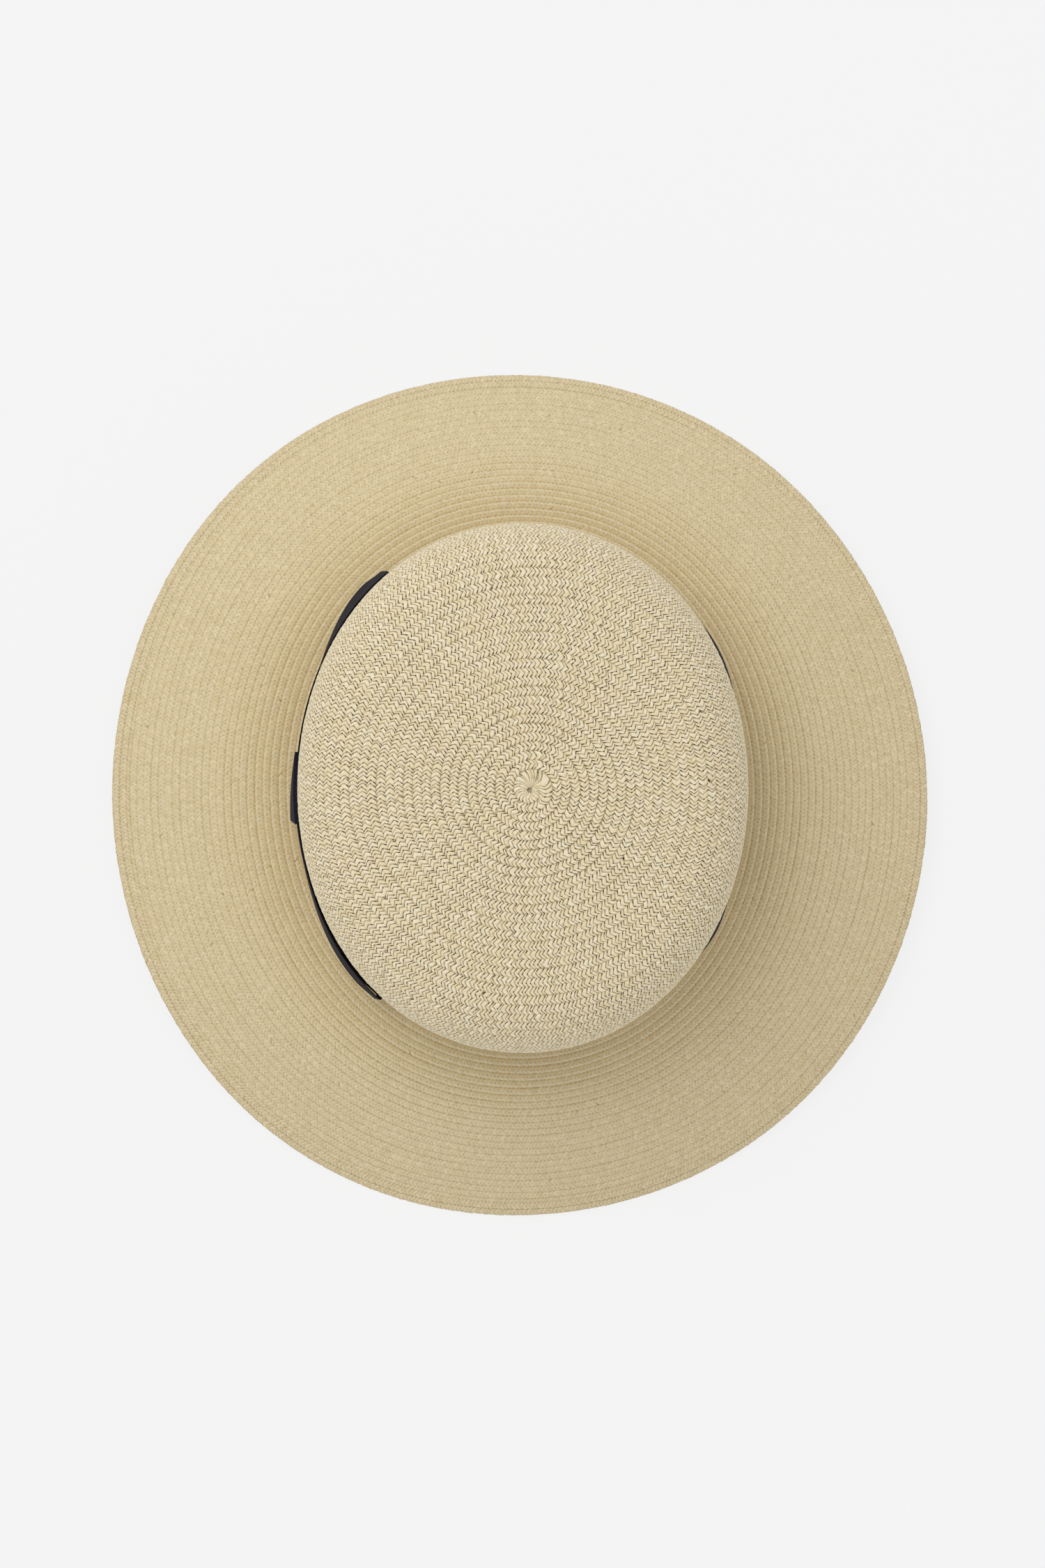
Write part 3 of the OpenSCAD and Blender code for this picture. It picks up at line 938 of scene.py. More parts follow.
@dataclass(frozen=True)
class PlaitProfile:
    """How one row of plait stands, from its inner edge to its outer edge, in millimetres.

    Across is a share of the row; relief, shingle and bulge are heights there; lean is how many stitches
    a strand runs ahead; parts are the places within one stitch; jitter and wander are spreads.
    """

    across: tuple[float, ...] = (-0.03, 0.03, 0.22, 0.44, 0.58, 0.78, 0.95, 1.01)
    relief: tuple[float, ...] = (-0.18, 0.02, 0.10, 0.06, 0.06, 0.14, 0.10, -0.18)
    shingle: tuple[float, ...] = (-0.30, -0.20, -0.10, 0.0, 0.05, 0.18, 0.28, -0.20)
    bulge: tuple[float, ...] = (0.0, 0.14, 0.20, 0.14, 0.14, 0.18, 0.10, 0.0)
    lean: tuple[float, ...] = (-0.1, 0.0, 0.30, 0.58, 0.62, 0.27, -0.13, -0.23)
    parts: tuple[float, ...] = (0.0, 0.2, 0.8)
    jitter: float = 0.16
    wander: float = 0.035


OUTSIDE = PlaitProfile()
INSIDE = PlaitProfile(across=(0.0, 0.25, 0.5, 0.75, 1.0), relief=(-0.2, -0.08, -0.1, -0.08, -0.2),
                      shingle=(0.0, 0.0, 0.0, 0.0, 0.0), bulge=(0.0, 0.08, 0.08, 0.08, 0.0),
                      lean=(0.0, 0.22, 0.45, 0.1, -0.4), parts=(0.0, 0.5))


class Face(Enum):
    """The side of the wall that a piece of braid shows."""

    OUTER = 1
    INNER = -1


@dataclass
class SpiralBraid:
    """The braid sewn in one spiral, clockwise from the middle of the crown, cut into pieces.

    Uneven lists how many stitches come early or late, and over what length. Waves lists how many times
    in a turn the rows swing aside, and the angle that the swing starts at.
    """

    shape: HatShape
    first_rows: float = 1.2
    start_angle: float = math.radians(61)
    stitch_pitch: float = 1.545 * MM
    uneven: tuple[tuple[float, float], ...] = ((0.25, 9.0 * MM), (0.7, 37.0 * MM), (1.6, 90.0 * MM))
    waves: tuple[tuple[float, float], ...] = ((3.3, 1.1), (7.7, 0.0))
    turn_step: float = 0.002
    hole: float = 0.46
    crown_ridge: tuple[float, float] = (0.6, 0.1)
    brim_ridge: tuple[float, float] = (1.5, 0.2)
    side_groove: float = 0.6
    tuck_depth: float = 0.9
    hidden_depth: float = 0.55
    bulge_spread: float = 0.33
    dip: float = -0.5
    luck_count: int = 40000
    turns: np.ndarray = field(init=False)
    numbers: np.ndarray = field(init=False)
    luck: np.ndarray = field(init=False)

    def __post_init__(self) -> None:
        """Counts the stitches along the whole spiral, and draws each one's luck."""
        self.turns = np.arange(0, self.shape.rows, self.turn_step)
        inner, outer = self.edges(self.turns)
        middle = np.where(self.turns < 1, np.maximum(0.95 * outer, 0.8), (inner + outer) / 2)
        points = self.shape.place(self.start_angle - self.turns * TAU, middle, np.zeros_like(self.turns))
        run = np.concatenate([[0], np.cumsum(np.linalg.norm(np.diff(points, axis=0), axis=1))])
        self.numbers = run / self.stitch_pitch
        for stitches, length in self.uneven:
            self.numbers = self.numbers + stitches * np.sin(run / length)
        self.luck = np.random.default_rng(SEED).normal(0, 1, (self.luck_count, 4)).clip(-2, 2)

    def edges(self, turn: np.ndarray) -> tuple[np.ndarray, np.ndarray]:
        """Finds the braid's inner and outer edges.

        Args:
            turn: How many turns the braid has made.

        Returns:
            The row of the inner edge and the row of the outer edge.
        """
        outer = turn + self.first_rows * smooth(turn, 0.0, 0.4)
        before = turn - 1 + self.first_rows * smooth(turn - 1, 0.0, 0.4)
        return np.where(turn < 1, 0.0, before), outer

    def tuck_hole(self, turn: np.ndarray) -> np.ndarray:
        """Returns how many rows the first turn stands back from the middle, where the start is tucked."""
        return self.hole * smooth(turn, 0.28, 0.4) * (1 - smooth(turn, 0.6, 0.86))

    def ridge(self, row: np.ndarray) -> np.ndarray:
        """Finds how much each row stands proud of the next one out.

        Args:
            row: Rows.

        Returns:
            The height, as a share of the shingle.
        """
        crown = np.interp(smooth(row, 6, 14), (0, 1), self.crown_ridge)
        brim = np.interp(smooth(row, 58, 72), (0, 1), self.brim_ridge)
        on_brim = smooth(row, self.shape.crown_rows - 1, self.shape.crown_rows + 1)
        return crown * (1 - on_brim) + brim * on_brim

    def seam_depth(self, row: np.ndarray) -> np.ndarray:
        """Returns the share of its full depth that the groove between two rows has."""
        on_side = smooth(row, 8, 15) * (1 - smooth(row, self.shape.crown_rows - 2, self.shape.crown_rows))
        return 1 - (1 - self.side_groove) * on_side

    def strands(self, number: np.ndarray) -> tuple[np.ndarray, np.ndarray, np.ndarray]:
        """Returns each point's strand, its nearest slit, and whether it stands up inside the strand."""
        strand = np.floor(number + SLACK).astype(int)
        return strand, np.round(number).astype(int), (number - strand > 0.1)[:, None]

    def swell(self, rise: np.ndarray, luck: np.ndarray) -> np.ndarray:
        """Returns how far each point bulges, as a share: up inside a strand and down at its sides."""
        return np.where(rise, 1.0 + self.bulge_spread * luck, self.dip)

    def stitches(self, first: float, last: float, parts: Sequence[float]) -> tuple[np.ndarray, np.ndarray]:
        """Lists the places along the braid where a piece has points.

        Args:
            first: The turn where the piece starts.
            last: The turn where it ends.
            parts: The places within one stitch.

        Returns:
            The stitch numbers, and the turn at each.
        """
        low, high = (round(float(np.interp(x, self.turns, self.numbers))) for x in (first, last))
        whole = np.arange(low, high)[:, None] + np.array(parts)[None, :]
        wanted = np.concatenate([whole.ravel(), [high]])
        return wanted, np.interp(wanted, self.numbers, self.turns)

    def piece(self, name: str, first: float, last: float, face: Face = Face.OUTER,
              hidden_from: float = 1000.0) -> bpy.types.Object:
        """Builds the braid between two turns.

        Args:
            name: The piece's name.
            first: The turn where the piece starts.
            last: The turn where it ends.
            face: The side of the wall that it shows.
            hidden_from: The row from which it lies pressed flat under another piece.

        Returns:
            The piece.
        """
        p = OUTSIDE if face is Face.OUTER else INSIDE
        number, turn = self.stitches(first, last, p.parts)
        strand, slit, rise = self.strands(number)
        across = np.array(p.across)[None, :]
        half = (across[0] > 0.5).astype(int)
        inner, outer = self.edges(turn)
        if face is Face.OUTER:
            inner = inner + self.tuck_hole(turn)
        wave = sum(0.5 * np.sin(turn * TAU * times + start) for times, start in self.waves)
        wave = wave * smooth(turn, 1.0, 2.0)
        row = (inner + p.wander * wave)[:, None] + across * (outer - inner)[:, None]
        lift = self.luck[strand % self.luck_count][:, half]
        row = row + 0.03 * lift * rise * np.sin(np.pi * np.clip(across, 0, 1))
        rate = np.gradient(turn, number)
        lean = np.array(p.lean)[None, :] + p.jitter * self.luck[slit % self.luck_count][:, half + 2]
        angle = self.start_angle - TAU * (turn[:, None] + rate[:, None] * lean)
        tuck = -self.tuck_depth * (1 - smooth(turn, 0.0, 0.14))[:, None]
        tuck = tuck - self.hidden_depth * smooth(row, hidden_from, hidden_from + 0.3)
        groove = np.where(np.array(p.relief) < 0, self.seam_depth(row), 1.0)
        h = np.array(p.relief)[None, :] * groove + np.array(p.shingle)[None, :] * self.ridge(row)
        calm = 1 - 0.45 * smooth(row, self.shape.crown_rows - 1, self.shape.crown_rows + 1)
        h = h + np.array(p.bulge)[None, :] * self.swell(rise, lift) * calm + tuck
        grid = self.shape.place(angle, row, face.value * (self.shape.wall / 2 + h * MM))
        plait = np.stack([number[:, None] + 0 * across, np.clip(across, 0, 1) + 0 * number[:, None], row], -1)
        length = (number[-1] - number[0]) * self.stitch_pitch
        return grid_object(name, grid, plait=plait, aspect=length / self.shape.row_pitch,
                           flip=face is Face.INNER)


# ---------------------------------------------------------------- sub-assemblies


@dataclass
class Crown:
    """The crown's braid, seen from outside, in three pieces."""

    braid: SpiralBraid
    straw: bpy.types.Material
    pieces: tuple[tuple[str, str, float, float], ...] = (("crown_tip_braid", "crown_tip", 0, 23),
                                                         ("crown_shoulder_braid", "crown_shoulder", 23, 35),
                                                         ("crown_side_braid", "crown_side", 35, 46))

    def build(self) -> None:
        """Builds the tip, the shoulder and the side down to under the hat band."""
        for name, node, first, last in self.pieces:
            keep(self.braid.piece(name, first, last), self.straw, "braid", node)


@dataclass
class Brim:
    """The brim's braid in four pieces, and the folded row round its edge."""

    shape: HatShape
    braid: SpiralBraid
    straw: bpy.types.Material
    cuts: tuple[float, ...] = (51.0, 59.0, 66.0, 72.0, 77.1)
    names: tuple[str, ...] = ("inner", "middle", "outer", "last")
    edge_w: float = 6 * MM
    edge_rows: int = 5
    edge_sink: float = 0.35 * MM
    edge_taper: float = 0.4 * MM
    edge_shingle: float = 0.25
    edge_hem: float = -0.75
    luck_stride: int = 1777
    covered_from: float = 77.25

    def build(self) -> None:
        """Builds the four bands of rows and the edge row."""
        for name, first, last in zip(self.names, self.cuts, self.cuts[1:]):
            keep(self.braid.piece(f"brim_braid_{name}", first, last, hidden_from=self.covered_from),
                 self.straw, "braid", "brim")
        keep(self.edge_row(), self.straw, "braid_edge", "brim_edge_row")

    def edge_frame(self, t: np.ndarray) -> tuple[np.ndarray, np.ndarray, np.ndarray]:
        """Finds how the brim's end lies.

        Args:
            t: Angles.

        Returns:
            The middle of the end, the direction out along the slope, and the direction square to it.
        """
        last = np.ones_like(t)
        end = self.shape.brim_mid(t, last)
        down = end - self.shape.brim_mid(t, np.full_like(t, 0.99))
        ahead = self.shape.brim_mid(t + TICK, last) - self.shape.brim_mid(t - TICK, last)
        return end, unit(down), unit(np.cross(down, ahead))

    def edge_row(self) -> bpy.types.Object:
        """Builds the folded row as narrow rows of plait wrapped round the brim's edge.

        Returns:
            The piece.
        """
        p = OUTSIDE
        r = self.shape.edge_t / 2
        girth = TAU * self.shape.brim_r
        stitches = round(girth / self.braid.stitch_pitch)
        whole = np.arange(stitches)[:, None] + np.array(p.parts)[None, :]
        number = np.concatenate([whole.ravel(), [stitches]])
        one = np.array(p.across[:-1])
        across = np.concatenate([one + k for k in range(self.edge_rows)] + [[self.edge_rows + 0.0]])
        tables = []
        for values in (p.relief, p.bulge, p.lean, p.shingle):
            tables.append(np.concatenate([np.tile(np.array(values[:-1]), self.edge_rows), [values[-1]]]))
        relief, bulge, lean, shingle = tables
        relief = relief + self.edge_shingle * shingle
        relief[[0, -1]] = self.edge_hem
        width = 2 * self.edge_w + math.pi * r
        path = np.clip(across / self.edge_rows, 0, 1) * width
        round_end = self.edge_w + math.pi * r
        bend = np.clip((path - self.edge_w) / r, 0, math.pi)
        below = np.where(path > round_end, path - round_end, 0.0)
        flat = np.where(path < self.edge_w, self.edge_w - path, below)
        lift = r - self.edge_sink - self.edge_taper * smooth(flat, 0.5 * MM, self.edge_w)
        strand, slit, rise = self.braid.strands(number)
        sub_row = np.floor(np.clip(across, 0, self.edge_rows - 0.01)).astype(int)
        half = (across % 1 > 0.5).astype(int)
        shift = self.luck_stride * sub_row[None, :]
        strand_at, slit_at = ((k[:, None] % stitches + shift) % self.braid.luck_count for k in (strand, slit))
        h = relief[None, :] + bulge[None, :] * self.braid.swell(rise, self.braid.luck[strand_at, half])
        jitter = p.jitter * self.braid.luck[slit_at, half + 2]
        t = self.braid.start_angle - TAU * (number[:, None] + lean[None, :] + jitter) / stitches
        end, slope, up = self.edge_frame(t)
        out_part = -flat[None, :] + (lift + h * MM) * np.sin(bend)[None, :]
        up_part = (lift + h * MM) * np.cos(bend)[None, :]
        grid = end + out_part[..., None] * slope + up_part[..., None] * up
        shown = (across - sub_row).clip(0, 1)
        plait = np.stack(np.broadcast_arrays(number[:, None] + shift, shown[None, :],
                                             self.shape.rows + sub_row[None, :]), -1)
        return grid_object("brim_edge_braid", grid, plait=plait, aspect=girth / width)


@dataclass
class Inside:
    """The underside of the brim and the inside of the crown."""

    braid: SpiralBraid
    crown_straw: bpy.types.Material
    brim_straw: bpy.types.Material

    def build(self) -> None:
        """Builds both undersides, from the middle of the crown out to the brim's edge."""
        for name, first, last, straw in (("crown_inside_top", 0, 32, self.crown_straw),
                                         ("crown_inside_side", 32, 52, self.crown_straw),
                                         ("brim_underside_inner", 52, 66, self.brim_straw),
                                         ("brim_underside_outer", 66, 77.1, self.brim_straw)):
            keep(self.braid.piece(name, first, last, Face.INNER), straw, "braid")


@dataclass
class HatBand:
    """The ribbon round the foot of the crown, and its thread tacks.

    Each loose place is where the ribbon's foot stands off: its angle and its spread in degrees, and how
    far it stands off. The seat is how far the ribbon's face is from the crown's wall.
    """

    shape: HatShape
    ribbon: bpy.types.Material
    thread: bpy.types.Material
    rib_pitch: float = 0.55 * MM
    rib_height: float = 0.05 * MM
    loose_places: tuple[tuple[float, float, float], ...] = ((31, 17, 1.7 * MM), (327, 13, 1.6 * MM))
    tack_angles: tuple[float, ...] = (20, 90, 250, 335)
    tack_l: float = 3 * MM
    thread_d: float = 0.4 * MM
    seat: float = 0.6 * MM
    selvedge: float = 0.2 * MM
    ribbon_t: float = 0.42 * MM
    slack: float = 0.25 * MM

    def build(self) -> None:
        """Builds the band and the tacks over its upper edge."""
        low, high = (np.array(c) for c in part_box("hat_band"))
        outer = self.shape.wall / 2 + self.seat
        girth = TAU * float(self.shape.half.mean())
        count = 2 * round(girth / self.rib_pitch)
        t = np.arange(count) * TAU / count
        swell = ribbing(count, self.rib_height, -self.rib_height)
        z = np.concatenate([[low[2]], np.linspace(low[2], high[2], 9), [high[2]], [high[2], low[2]]])
        edge = [outer - self.selvedge]
        face = np.concatenate([edge, np.full(9, outer), edge, [outer - self.ribbon_t] * 2])
        ribbed = np.concatenate([[0.0], np.ones(9), [0.0, 0.0, 0.0]])
        slack = np.clip(self.slack * np.sin(5 * t + 0.7) * np.sin(3 * t), 0, None)
        clear_of_bow = 1 - smooth(np.cos(t - math.pi), 0.3, 0.5)
        h = face[None, :] + swell[:, None] * ribbed[None, :] + (slack * clear_of_bow)[:, None]
        for at, spread, far in self.loose_places:
            away = np.abs((t - math.radians(at) + math.pi) % TAU - math.pi) / math.radians(spread)
            bell = np.cos(np.minimum(away, 1) * math.pi / 2) ** 2
            h = h + far * bell[:, None] * (1 - (z - low[2]) / (high[2] - low[2]))[None, :]
        grid = self.shape.beside(t[:, None], h, np.broadcast_to(z, h.shape))
        band = grid_object("hat_band_ribbon", grid, wrap_rows=True, wrap_columns=True,
                           aspect=girth / (2 * (high[2] - low[2])))
        keep(band, self.ribbon, "ribbon", "hat_band")
        keep(self.tacks(float(high[2])), self.thread, "dark_thread", "band_tacks")

    def tacks(self, z: float) -> bpy.types.Object:
        """Builds the short upright stitches over the band's upper edge.

        Args:
            z: The height of the edge.

        Returns:
            The piece.
        """
        along = np.linspace(-1, 1, 9)
        arch = 0.3 * MM + 0.25 * MM * (1 - along ** 2)
        h = self.shape.wall / 2 + self.seat + arch
        paths = [self.shape.beside(math.radians(a), h, z + along * self.tack_l / 2) for a in self.tack_angles]
        return thread_object("band_tack_threads", np.stack(paths), self.thread_d)


@dataclass
class Bow:
    """The flat bow: two loops of ribbon on edge, flared at the foot, and the knot wrapped round them."""

    shape: HatShape
    ribbon: bpy.types.Material
    at: float = math.pi
    front_span: float = math.radians(54)
    rear_span: float = math.radians(52)
    flare: float = 3.2 * MM
    ribbon_t: float = 0.5 * MM
    tip_slant: float = 1.8 * MM
    rib_pitch: float = 0.55 * MM
    rib_height: float = 0.045 * MM
    knot_rib_height: float = 0.04 * MM

    def build(self) -> None:
        """Builds the loops and the knot."""
        low, high = (np.array(c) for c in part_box("bow_front_loop"))
        self.z0, self.z1 = float(low[2]), float(high[2])
        self.h0 = self.shape.wall / 2 + 0.64 * MM + self.ribbon_t / 2
        front = self.loop("bow_front_ribbon", self.front_span, -1, (0.52, 0.75, 0.4, 0.95),
                          (0.0, 1.06, 0.42, 0.86))
        keep(front, self.ribbon, "ribbon", "bow_front_loop")
        rear = self.loop("bow_rear_ribbon", self.rear_span, 1, (0.6, 1.5, 0.3, 0.85),
                         (0.22, 0.5, 0.30, 0.82))
        keep(rear, self.ribbon, "ribbon", "bow_rear_loop")
        keep(self.knot(), self.ribbon, "ribbon", "bow_knot")

    def low(self, z: np.ndarray) -> np.ndarray:
        """Returns 1 at the ribbon's lower edge and 0 at its upper edge."""
        return 1 - (z - self.z0) / (self.z1 - self.z0)

    def loop(self, name: str, span: float, side: int, gap: tuple[float, float, float, float],
             flare: tuple[float, float, float, float]) -> bpy.types.Object:
        """Builds one loop, out along its outer layer and back along its inner one.

        Args:
            name: The piece's name.
            span: The angle that it covers from the middle of the knot.
            side: -1 towards the front and 1 towards the rear.
            gap: The gap at the root and at the tip in millimetres, and where it starts and stops opening.
            flare: Share of the flare at the root, the share added further out, and where that starts and
                stops.

        Returns:
            The piece.
        """
        pace = self.shape.pace(self.at + side * span)
        fold = gap[1] / 2 * MM
        reach = span - fold / pace
        count = 2 * round(reach * pace / self.rib_pitch)
        s = np.linspace(0.02, 1, count)
        root = gap[0] * MM
        opening = root + (gap[1] * MM - root) * smooth(s, gap[2], gap[3])
        share = (flare[0] + flare[1] * smooth(s, flare[2], flare[3])) * (1 - 0.3 * smooth(s, 0.88, 1.0))
        turn = np.linspace(math.pi / 2, -math.pi / 2, 12)[1:-1]
        tip_share = share[-1] * (0.85 + 0.15 * (1 + np.sin(turn)) / 2)
        angle = np.concatenate([s * reach, reach + fold * np.cos(turn) / pace, (s * reach)[::-1]])
        depth = np.concatenate([self.h0 + opening, self.h0 + fold + fold * np.sin(turn),
                                np.full(len(s), self.h0)])
        spread = np.concatenate([share, tip_share, 0.85 * share[::-1]])
        across = np.linspace(0, 1, 13)
        z = self.z0 + (self.z1 - self.z0) * across
        drawn_in = self.tip_slant / pace * smooth(angle / reach, 0.85, 1.0)
        t = self.at + side * (angle[:, None] - drawn_in[:, None] * (self.low(z) ** 2)[None, :])
        depth = depth[:, None] + (spread * self.flare)[:, None] * (self.low(z) ** 1.15)[None, :]
        middle = self.shape.beside(t, depth, z[None, :])
        square = unit(np.cross(np.gradient(middle, axis=0), np.gradient(middle, axis=1)) * side)
        rib = ribbing(len(t), self.rib_height, -self.rib_height)[:, None, None]
        half = self.ribbon_t / 2 - 0.04 * MM
        thin = np.ones_like(across)
        thin[[0, -1]] = 0.45
        face = middle + square * (half * thin[None, :, None] + rib * (thin == 1)[None, :, None])
        back = (middle - square * half * thin[None, :, None])[:, ::-1]
        grid = np.concatenate([face, back], 1)
        piece = grid_object(name, grid, wrap_columns=True, aspect=4.0, caps=True, flip=side < 0)
        return piece

    def knot(self) -> bpy.types.Object:
        """Builds the knot, a ribbon wrapped over the roots of both loops and tipped out at its rear.

        Returns:
            The piece.
        """
        low, high = (np.array(c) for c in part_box("bow_knot"))
        pace = self.shape.pace(self.at)
        length = float(high[1] - low[1])
        columns = 2 * round(length / self.rib_pitch) + 1
        u = np.linspace(-1, 1, columns)
        t = self.at + u * length / 2 / pace
        from_rear = (1 - u) * length / 2
        face = self.h0 + 0.8 * MM + self.ribbon_t / 2 + 0.1 * MM + self.ribbon_t
        foot = face + (0.45 + 1.75 * (u + 1) / 2) * MM
        foot = np.minimum(foot, foot[-1] - 1.7 * MM + from_rear)
        foot = np.maximum(foot, face + 0.1 * MM)
        z_low, z_high = float(low[2]), float(high[2])
        root = self.shape.wall / 2 + 0.15 * MM
        top = np.full(columns, face)
        levels = np.linspace(0, 1, 9)
        path_z = np.concatenate([[z_low, z_low, z_low + 0.15 * MM],
                                 z_low + 0.5 * MM + (z_high - z_low - 1.0 * MM) * levels,
                                 [z_high - 0.15 * MM, z_high, z_high]])
        front = foot[:, None] * (1 - levels[None, :] ** 0.9) + top[:, None] * levels[None, :] ** 0.9
        front = front + (0.2 * MM * (1 - u ** 2))[:, None] * np.sin(np.pi * levels)[None, :]
        rib = ribbing(columns, self.knot_rib_height, -self.knot_rib_height)[:, None]
        low_side = np.stack([np.full(columns, root), root + 0.5 * (foot - root), foot - 0.4 * MM], 1)
        high_side = np.stack([top - 0.4 * MM, root + 0.4 * (top - root), np.full(columns, root)], 1)
        outer_h = np.concatenate([low_side, front + rib, high_side], 1)
        outer = self.shape.beside(t[:, None], outer_h, np.broadcast_to(path_z, outer_h.shape))
        inner_h = np.clip(outer_h - self.ribbon_t, root, None)
        inset = path_z + np.where(path_z < (z_low + z_high) / 2, 1, -1) * self.ribbon_t
        inner = self.shape.beside(t[:, None], inner_h, np.broadcast_to(inset, outer_h.shape))[:, ::-1]
        piece = grid_object("bow_knot_ribbon", np.concatenate([outer, inner], 1), wrap_columns=True,
                            aspect=1.0, caps=True)
        return piece


@dataclass(frozen=True)
class Patch:
    """A small piece sewn on the sweatband: its node, name and slot, its angle, thickness and width."""

    node: str
    name: str
    slot: str
    at: float
    thick: float
    width: float


@dataclass
class Sweatband:
    """The tape inside the crown, with its tab, seam and bare label."""

    shape: HatShape
    tape: bpy.types.Material
    thread: bpy.types.Material
    label: bpy.types.Material
    tape_t: float = 0.8 * MM
    seat: float = 0.1 * MM
    seam_up: float = 2 * MM
    stitch_l: float = 2.6 * MM
    thread_d: float = 0.4 * MM
    seams: int = 72
    rib_pitch: float = 0.9 * MM
    rib_height: float = 0.05 * MM
    pucker: float = 0.12 * MM
    back_at: float = math.radians(270)
    tab_half: float = math.radians(4)
    tab_t: float = 0.7 * MM
    label_at: float = math.radians(225)
    label_t: float = 0.3 * MM
    label_w: float = 30 * MM

    def build(self) -> None:
        """Builds the tape, the tab over its join, the seam and the label."""
        low, high = (np.array(c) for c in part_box("sweatband"))
        self.z0, self.z1 = float(low[2]), float(high[2])
        self.outer = -(self.shape.wall / 2 + self.seat)
        self.inner = self.outer - self.tape_t
        girth = TAU * (float(self.shape.half.mean()) + self.inner)
        band = self.band(girth)
        keep(band, self.tape, "sweatband_tape", "sweatband")
        tab_w = 2 * self.tab_half * self.shape.pace(self.back_at)
        tab = Patch("sweatband_tab", "sweatband_tab_tape", "sweatband_tape", self.back_at, self.tab_t, tab_w)
        label = Patch("size_label", "size_label_cloth", "label_tape", self.label_at, self.label_t,
                      self.label_w)
        for patch, material in ((tab, self.tape), (label, self.label)):
            piece, flat = self.sewn_on(patch)
            keep(piece, material, patch.slot, patch.node)
        keep(self.seam(), self.thread, "pale_thread", "sweatband_stitches")

    def band(self, girth: float) -> bpy.types.Object:
        """Builds the tape as a fine ribbed band, drawn in a little at each stitch of its seam.

        Args:
            girth: The length of the tape's face once round.

        Returns:
            The piece.
        """
        count = 2 * round(girth / self.rib_pitch)
        t = np.arange(count) * TAU / count
        rib = ribbing(count, self.rib_height, 0.0)
        pucker = self.pucker * (0.5 + 0.5 * np.cos(self.seams * t))
        height = self.z1 - self.z0
        levels = np.array([0.0, 0.02, 0.05, 0.065, 0.09, 0.2, 0.4, 0.6, 0.8, 0.94, 0.98, 1.0])
        near_seam = np.exp(-((levels * height - self.seam_up) / (1.2 * MM)) ** 2)
        thin = np.where((levels == 0) | (levels == 1), 0.25 * MM, 0.0)
        ribbed = (levels > 0) & (levels < 1)
        face = self.inner + thin[None, :] + rib[:, None] * ribbed[None, :]
        face = face + pucker[:, None] * near_seam[None, :]
        back = np.full((len(t), 2), self.outer)
        h = np.concatenate([face, back], 1)
        z = self.z0 + height * np.concatenate([levels, [1.0, 0.0]])
        grid = self.shape.beside(t[:, None], h, np.broadcast_to(z, h.shape))
        return grid_object("sweatband_tape", grid, wrap_rows=True, wrap_columns=True, flip=True,
                           aspect=girth / (2 * height))

    def sewn_on(self, patch: Patch) -> tuple[bpy.types.Object, tuple[float, float]]:
        """Builds a small sewn-on piece with thin edges and a stitched border.

        Args:
            patch: What it is and where it goes.

        Returns:
            The piece, and its flat width and height.
        """
        low, high = (np.array(c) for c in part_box(patch.node))
        z0, height = float(low[2]), float(high[2]) - float(low[2])
        half = patch.width / 2 / self.shape.pace(patch.at)
        near = self.inner - self.seat
        places = self.border(patch.width)
        levels = self.border(height)
        edge_u = np.minimum(places, patch.width - places)[:, None]
        edge_z = np.minimum(levels, height - levels)[None, :]
        edge = np.minimum(edge_u, edge_z)
        groove = 0.35 * np.exp(-((edge - 1.3 * MM) / (0.25 * MM)) ** 2)
        fullness = (0.35 + 0.65 * smooth(edge, 0.0, 0.5 * MM)) * (1 - groove)
        t = patch.at - half + 2 * half * places / patch.width
        face = near - patch.thick * fullness
        back = np.full_like(face, near)[:, ::-1]
        h = np.concatenate([face, back], 1)
        z = np.concatenate([z0 + levels, (z0 + levels)[::-1]])
        grid = self.shape.beside(t[:, None], h, np.broadcast_to(z, h.shape))
        piece = grid_object(patch.name, grid, wrap_columns=True, aspect=1.0, caps=True, flip=True)
        return piece, (patch.width, height)

    def border(self, length: float) -> np.ndarray:
        """Spreads places along a length, closer together at its ends and at the stitched border.

        Args:
            length: The length.

        Returns:
            The places, from 0 to the length.
        """
        near = np.array([0.0, 0.2, 0.5, 1.0, 1.3, 1.6, 2.2]) * MM
        middle = np.linspace(2.2 * MM, length - 2.2 * MM, 9)[1:-1]
        return np.concatenate([near, middle, (length - near)[::-1]])

    def seam(self) -> bpy.types.Object:
        """Builds the stitches along the tape's lower edge, each a short bowed thread.

        Returns:
            The piece.
        """
        along = np.linspace(-1, 1, 9)
        paths = []
        clear = self.tab_half + self.stitch_l / self.shape.pace(self.back_at)
        for k in range(self.seams):
            at = (k + 0.5) * TAU / self.seams
            if abs(at - self.back_at) < clear:
                continue
            half = self.stitch_l / 2 / self.shape.pace(at)
            h = self.inner - self.seat - self.thread_d * (1 - 0.6 * along ** 2)
            paths.append(self.shape.beside(at + along * half, h, self.z0 + self.seam_up))
        return thread_object("sweatband_seam_threads", np.stack(paths), self.thread_d)


@dataclass
class EdgeWire:
    """The wire in the brim's edge and the sleeve on its ends."""

    steel: bpy.types.Material

    def build(self) -> None:
        """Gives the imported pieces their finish."""
        for node in ("brim_wire", "wire_sleeve"):
            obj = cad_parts[node]
            obj.data.materials.clear()
            obj.data.materials.append(self.steel)
            LOG.info("%s: packed piece, %s", node, self.steel.name)


# ---------------------------------------------------------------- studio


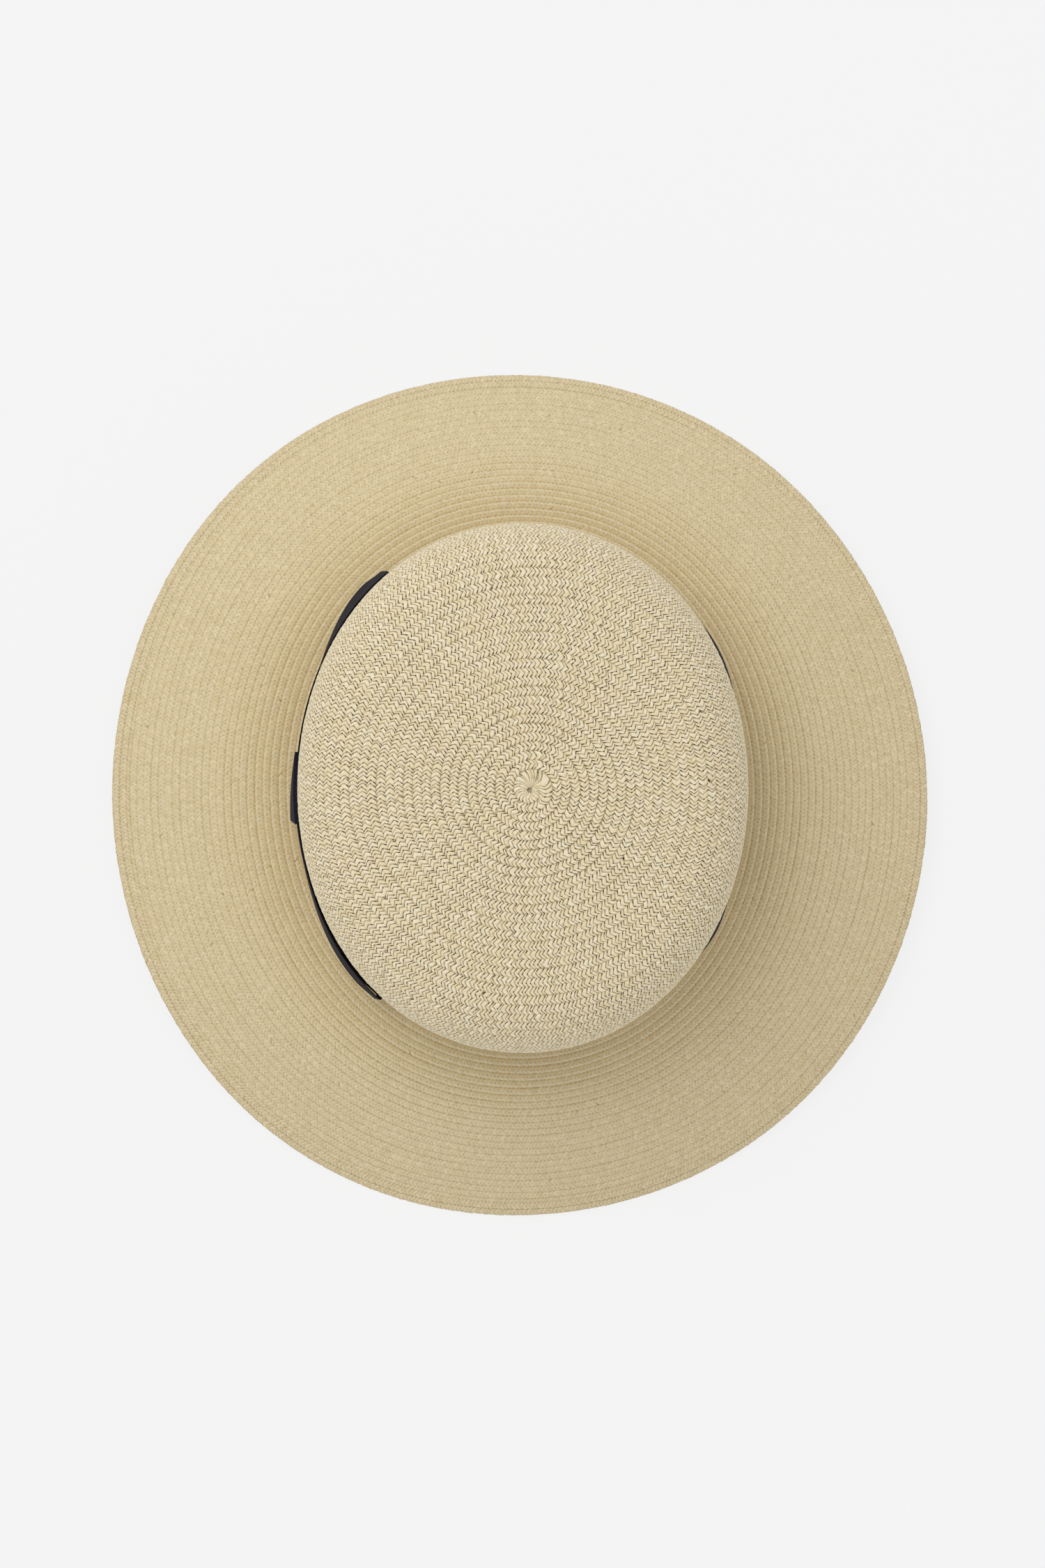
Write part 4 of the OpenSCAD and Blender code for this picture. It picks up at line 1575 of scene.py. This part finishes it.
@dataclass
class Studio:
    """A pale floor, soft light and the camera straight above.

    The floor's shadow is the share of real light and shadow in its shown colour. Sky is the strength of
    the light from all round, and the lamp's power is in watts.
    """

    camera_at: tuple[float, float] = (1.1 * MM, 4.5 * MM)
    camera_height: float = 1488 * MM
    lens: float = 85.0
    film: float = 36.0
    floor_w: float = 12.0
    floor_colour: Colour = srgb(246, 246, 246)
    floor_shadow: float = 0.12
    sky: float = 0.69
    key_power: float = 16.5
    key_at: tuple[float, float, float] = (-0.75, 0.95, 2.2)
    key_size: float = 1.4
    aim_at: tuple[float, float, float] = (0.0, 0.0, 0.08)

    def build(self) -> None:
        """Builds the floor, lights and camera."""
        self.floor()
        self.world()
        self.key()
        self.camera()
        bpy.context.scene.view_settings.view_transform = "Standard"

    def floor(self) -> None:
        """Lays the floor, whose shown colour keeps a share of the hat's shadow."""
        bpy.ops.mesh.primitive_plane_add(size=self.floor_w, location=(0, 0, 0))
        plane = bpy.context.object
        plane.name = "studio_floor"
        paper = bpy.data.materials.new("studio_paper")
        s = NodeSheet(paper)
        s.finish({"Base Color": self.floor_colour, "Roughness": 0.9, "Specular IOR Level": 0.0})
        glow = s.new("Emission", self.floor_colour, 1.0)
        s.blend(s.product(s.seen(), 1 - self.floor_shadow), glow, "Material Output")
        plane.data.materials.append(paper)

    def world(self) -> None:
        """Lights the room evenly from all round, and shows it in the floor's colour."""
        world = bpy.data.worlds.new("studio_world")
        s = NodeSheet(world, "Background")
        s.finish({"Color": srgb(255, 255, 255), "Strength": self.sky})
        s.blend(s.seen(), s.new("Background", self.floor_colour, 1.0), "World Output")
        bpy.context.scene.world = world

    def key(self) -> None:
        """Hangs one large soft lamp ahead of the hat and to its left."""
        lamp = bpy.data.lights.new("soft_lamp", "AREA")
        lamp.shape = "DISK"
        lamp.size = self.key_size
        lamp.energy = self.key_power
        obj = bpy.data.objects.new("soft_lamp", lamp)
        obj.location = self.key_at
        aim = Vector(self.aim_at) - Vector(self.key_at)
        obj.rotation_euler = aim.to_track_quat("-Z", "Y").to_euler()
        bpy.context.scene.collection.objects.link(obj)

    def camera(self) -> None:
        """Hangs the camera straight above, with the hat's front at the top of the view."""
        data = bpy.data.cameras.new("camera")
        data.sensor_fit = "VERTICAL"
        data.sensor_height = self.film
        data.lens = self.lens
        data.clip_start = 0.05
        obj = bpy.data.objects.new("camera", data)
        obj.location = (*self.camera_at, self.camera_height)
        bpy.context.scene.collection.objects.link(obj)
        bpy.context.scene.camera = obj


def main() -> None:
    """Builds the hat and the studio, and reports each piece."""
    logging.basicConfig(level=logging.INFO, format="%(message)s")
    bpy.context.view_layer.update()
    shape = HatShape()
    braid = SpiralBraid(shape)
    straw = PaperBraid().build()
    # Brim straw: fainter painted shade in slits and at strand edges; painted shade and highlight round the
    # crown's foot.
    brim_straw = PaperBraid(name="paper_braid_brim", strand=srgb(227, 209, 168), pale=srgb(236, 219, 179),
                            yellow=srgb(221, 200, 150), pink=srgb(224, 200, 160), slit=srgb(150, 128, 84),
                            slit_shade_depth=0.27, side_depth=1.0, seam_shadow_depth=0.75, thread_share=0.1, patch=0.4,
                            edge_shade=0.1, edge=srgb(200, 180, 136), crown_foot_shade=0.4, ridge_highlight_and_shade=0.9).build()
    ribbon = RibbedRibbon().build()
    tape = WovenTape("sweatband_cotton", srgb(222, 212, 188), srgb(200, 188, 160)).build()
    pale_thread = WovenTape("pale_thread", srgb(240, 236, 220), srgb(214, 206, 184)).build()
    label = WovenTape("label_cloth", srgb(236, 234, 228), srgb(216, 212, 202)).build()
    dark_thread = WovenTape("dark_thread", srgb(44, 43, 56), srgb(28, 27, 36)).build()
    Crown(braid, straw).build()
    Brim(shape, braid, brim_straw).build()
    Inside(braid, straw, brim_straw).build()
    Sweatband(shape, tape, pale_thread, label).build()
    EdgeWire(DrawnSteel().build()).build()
    HatBand(shape, ribbon, dark_thread).build()
    Bow(shape, ribbon).build()
    Studio().build()


if __name__ == "__main__":
    main()
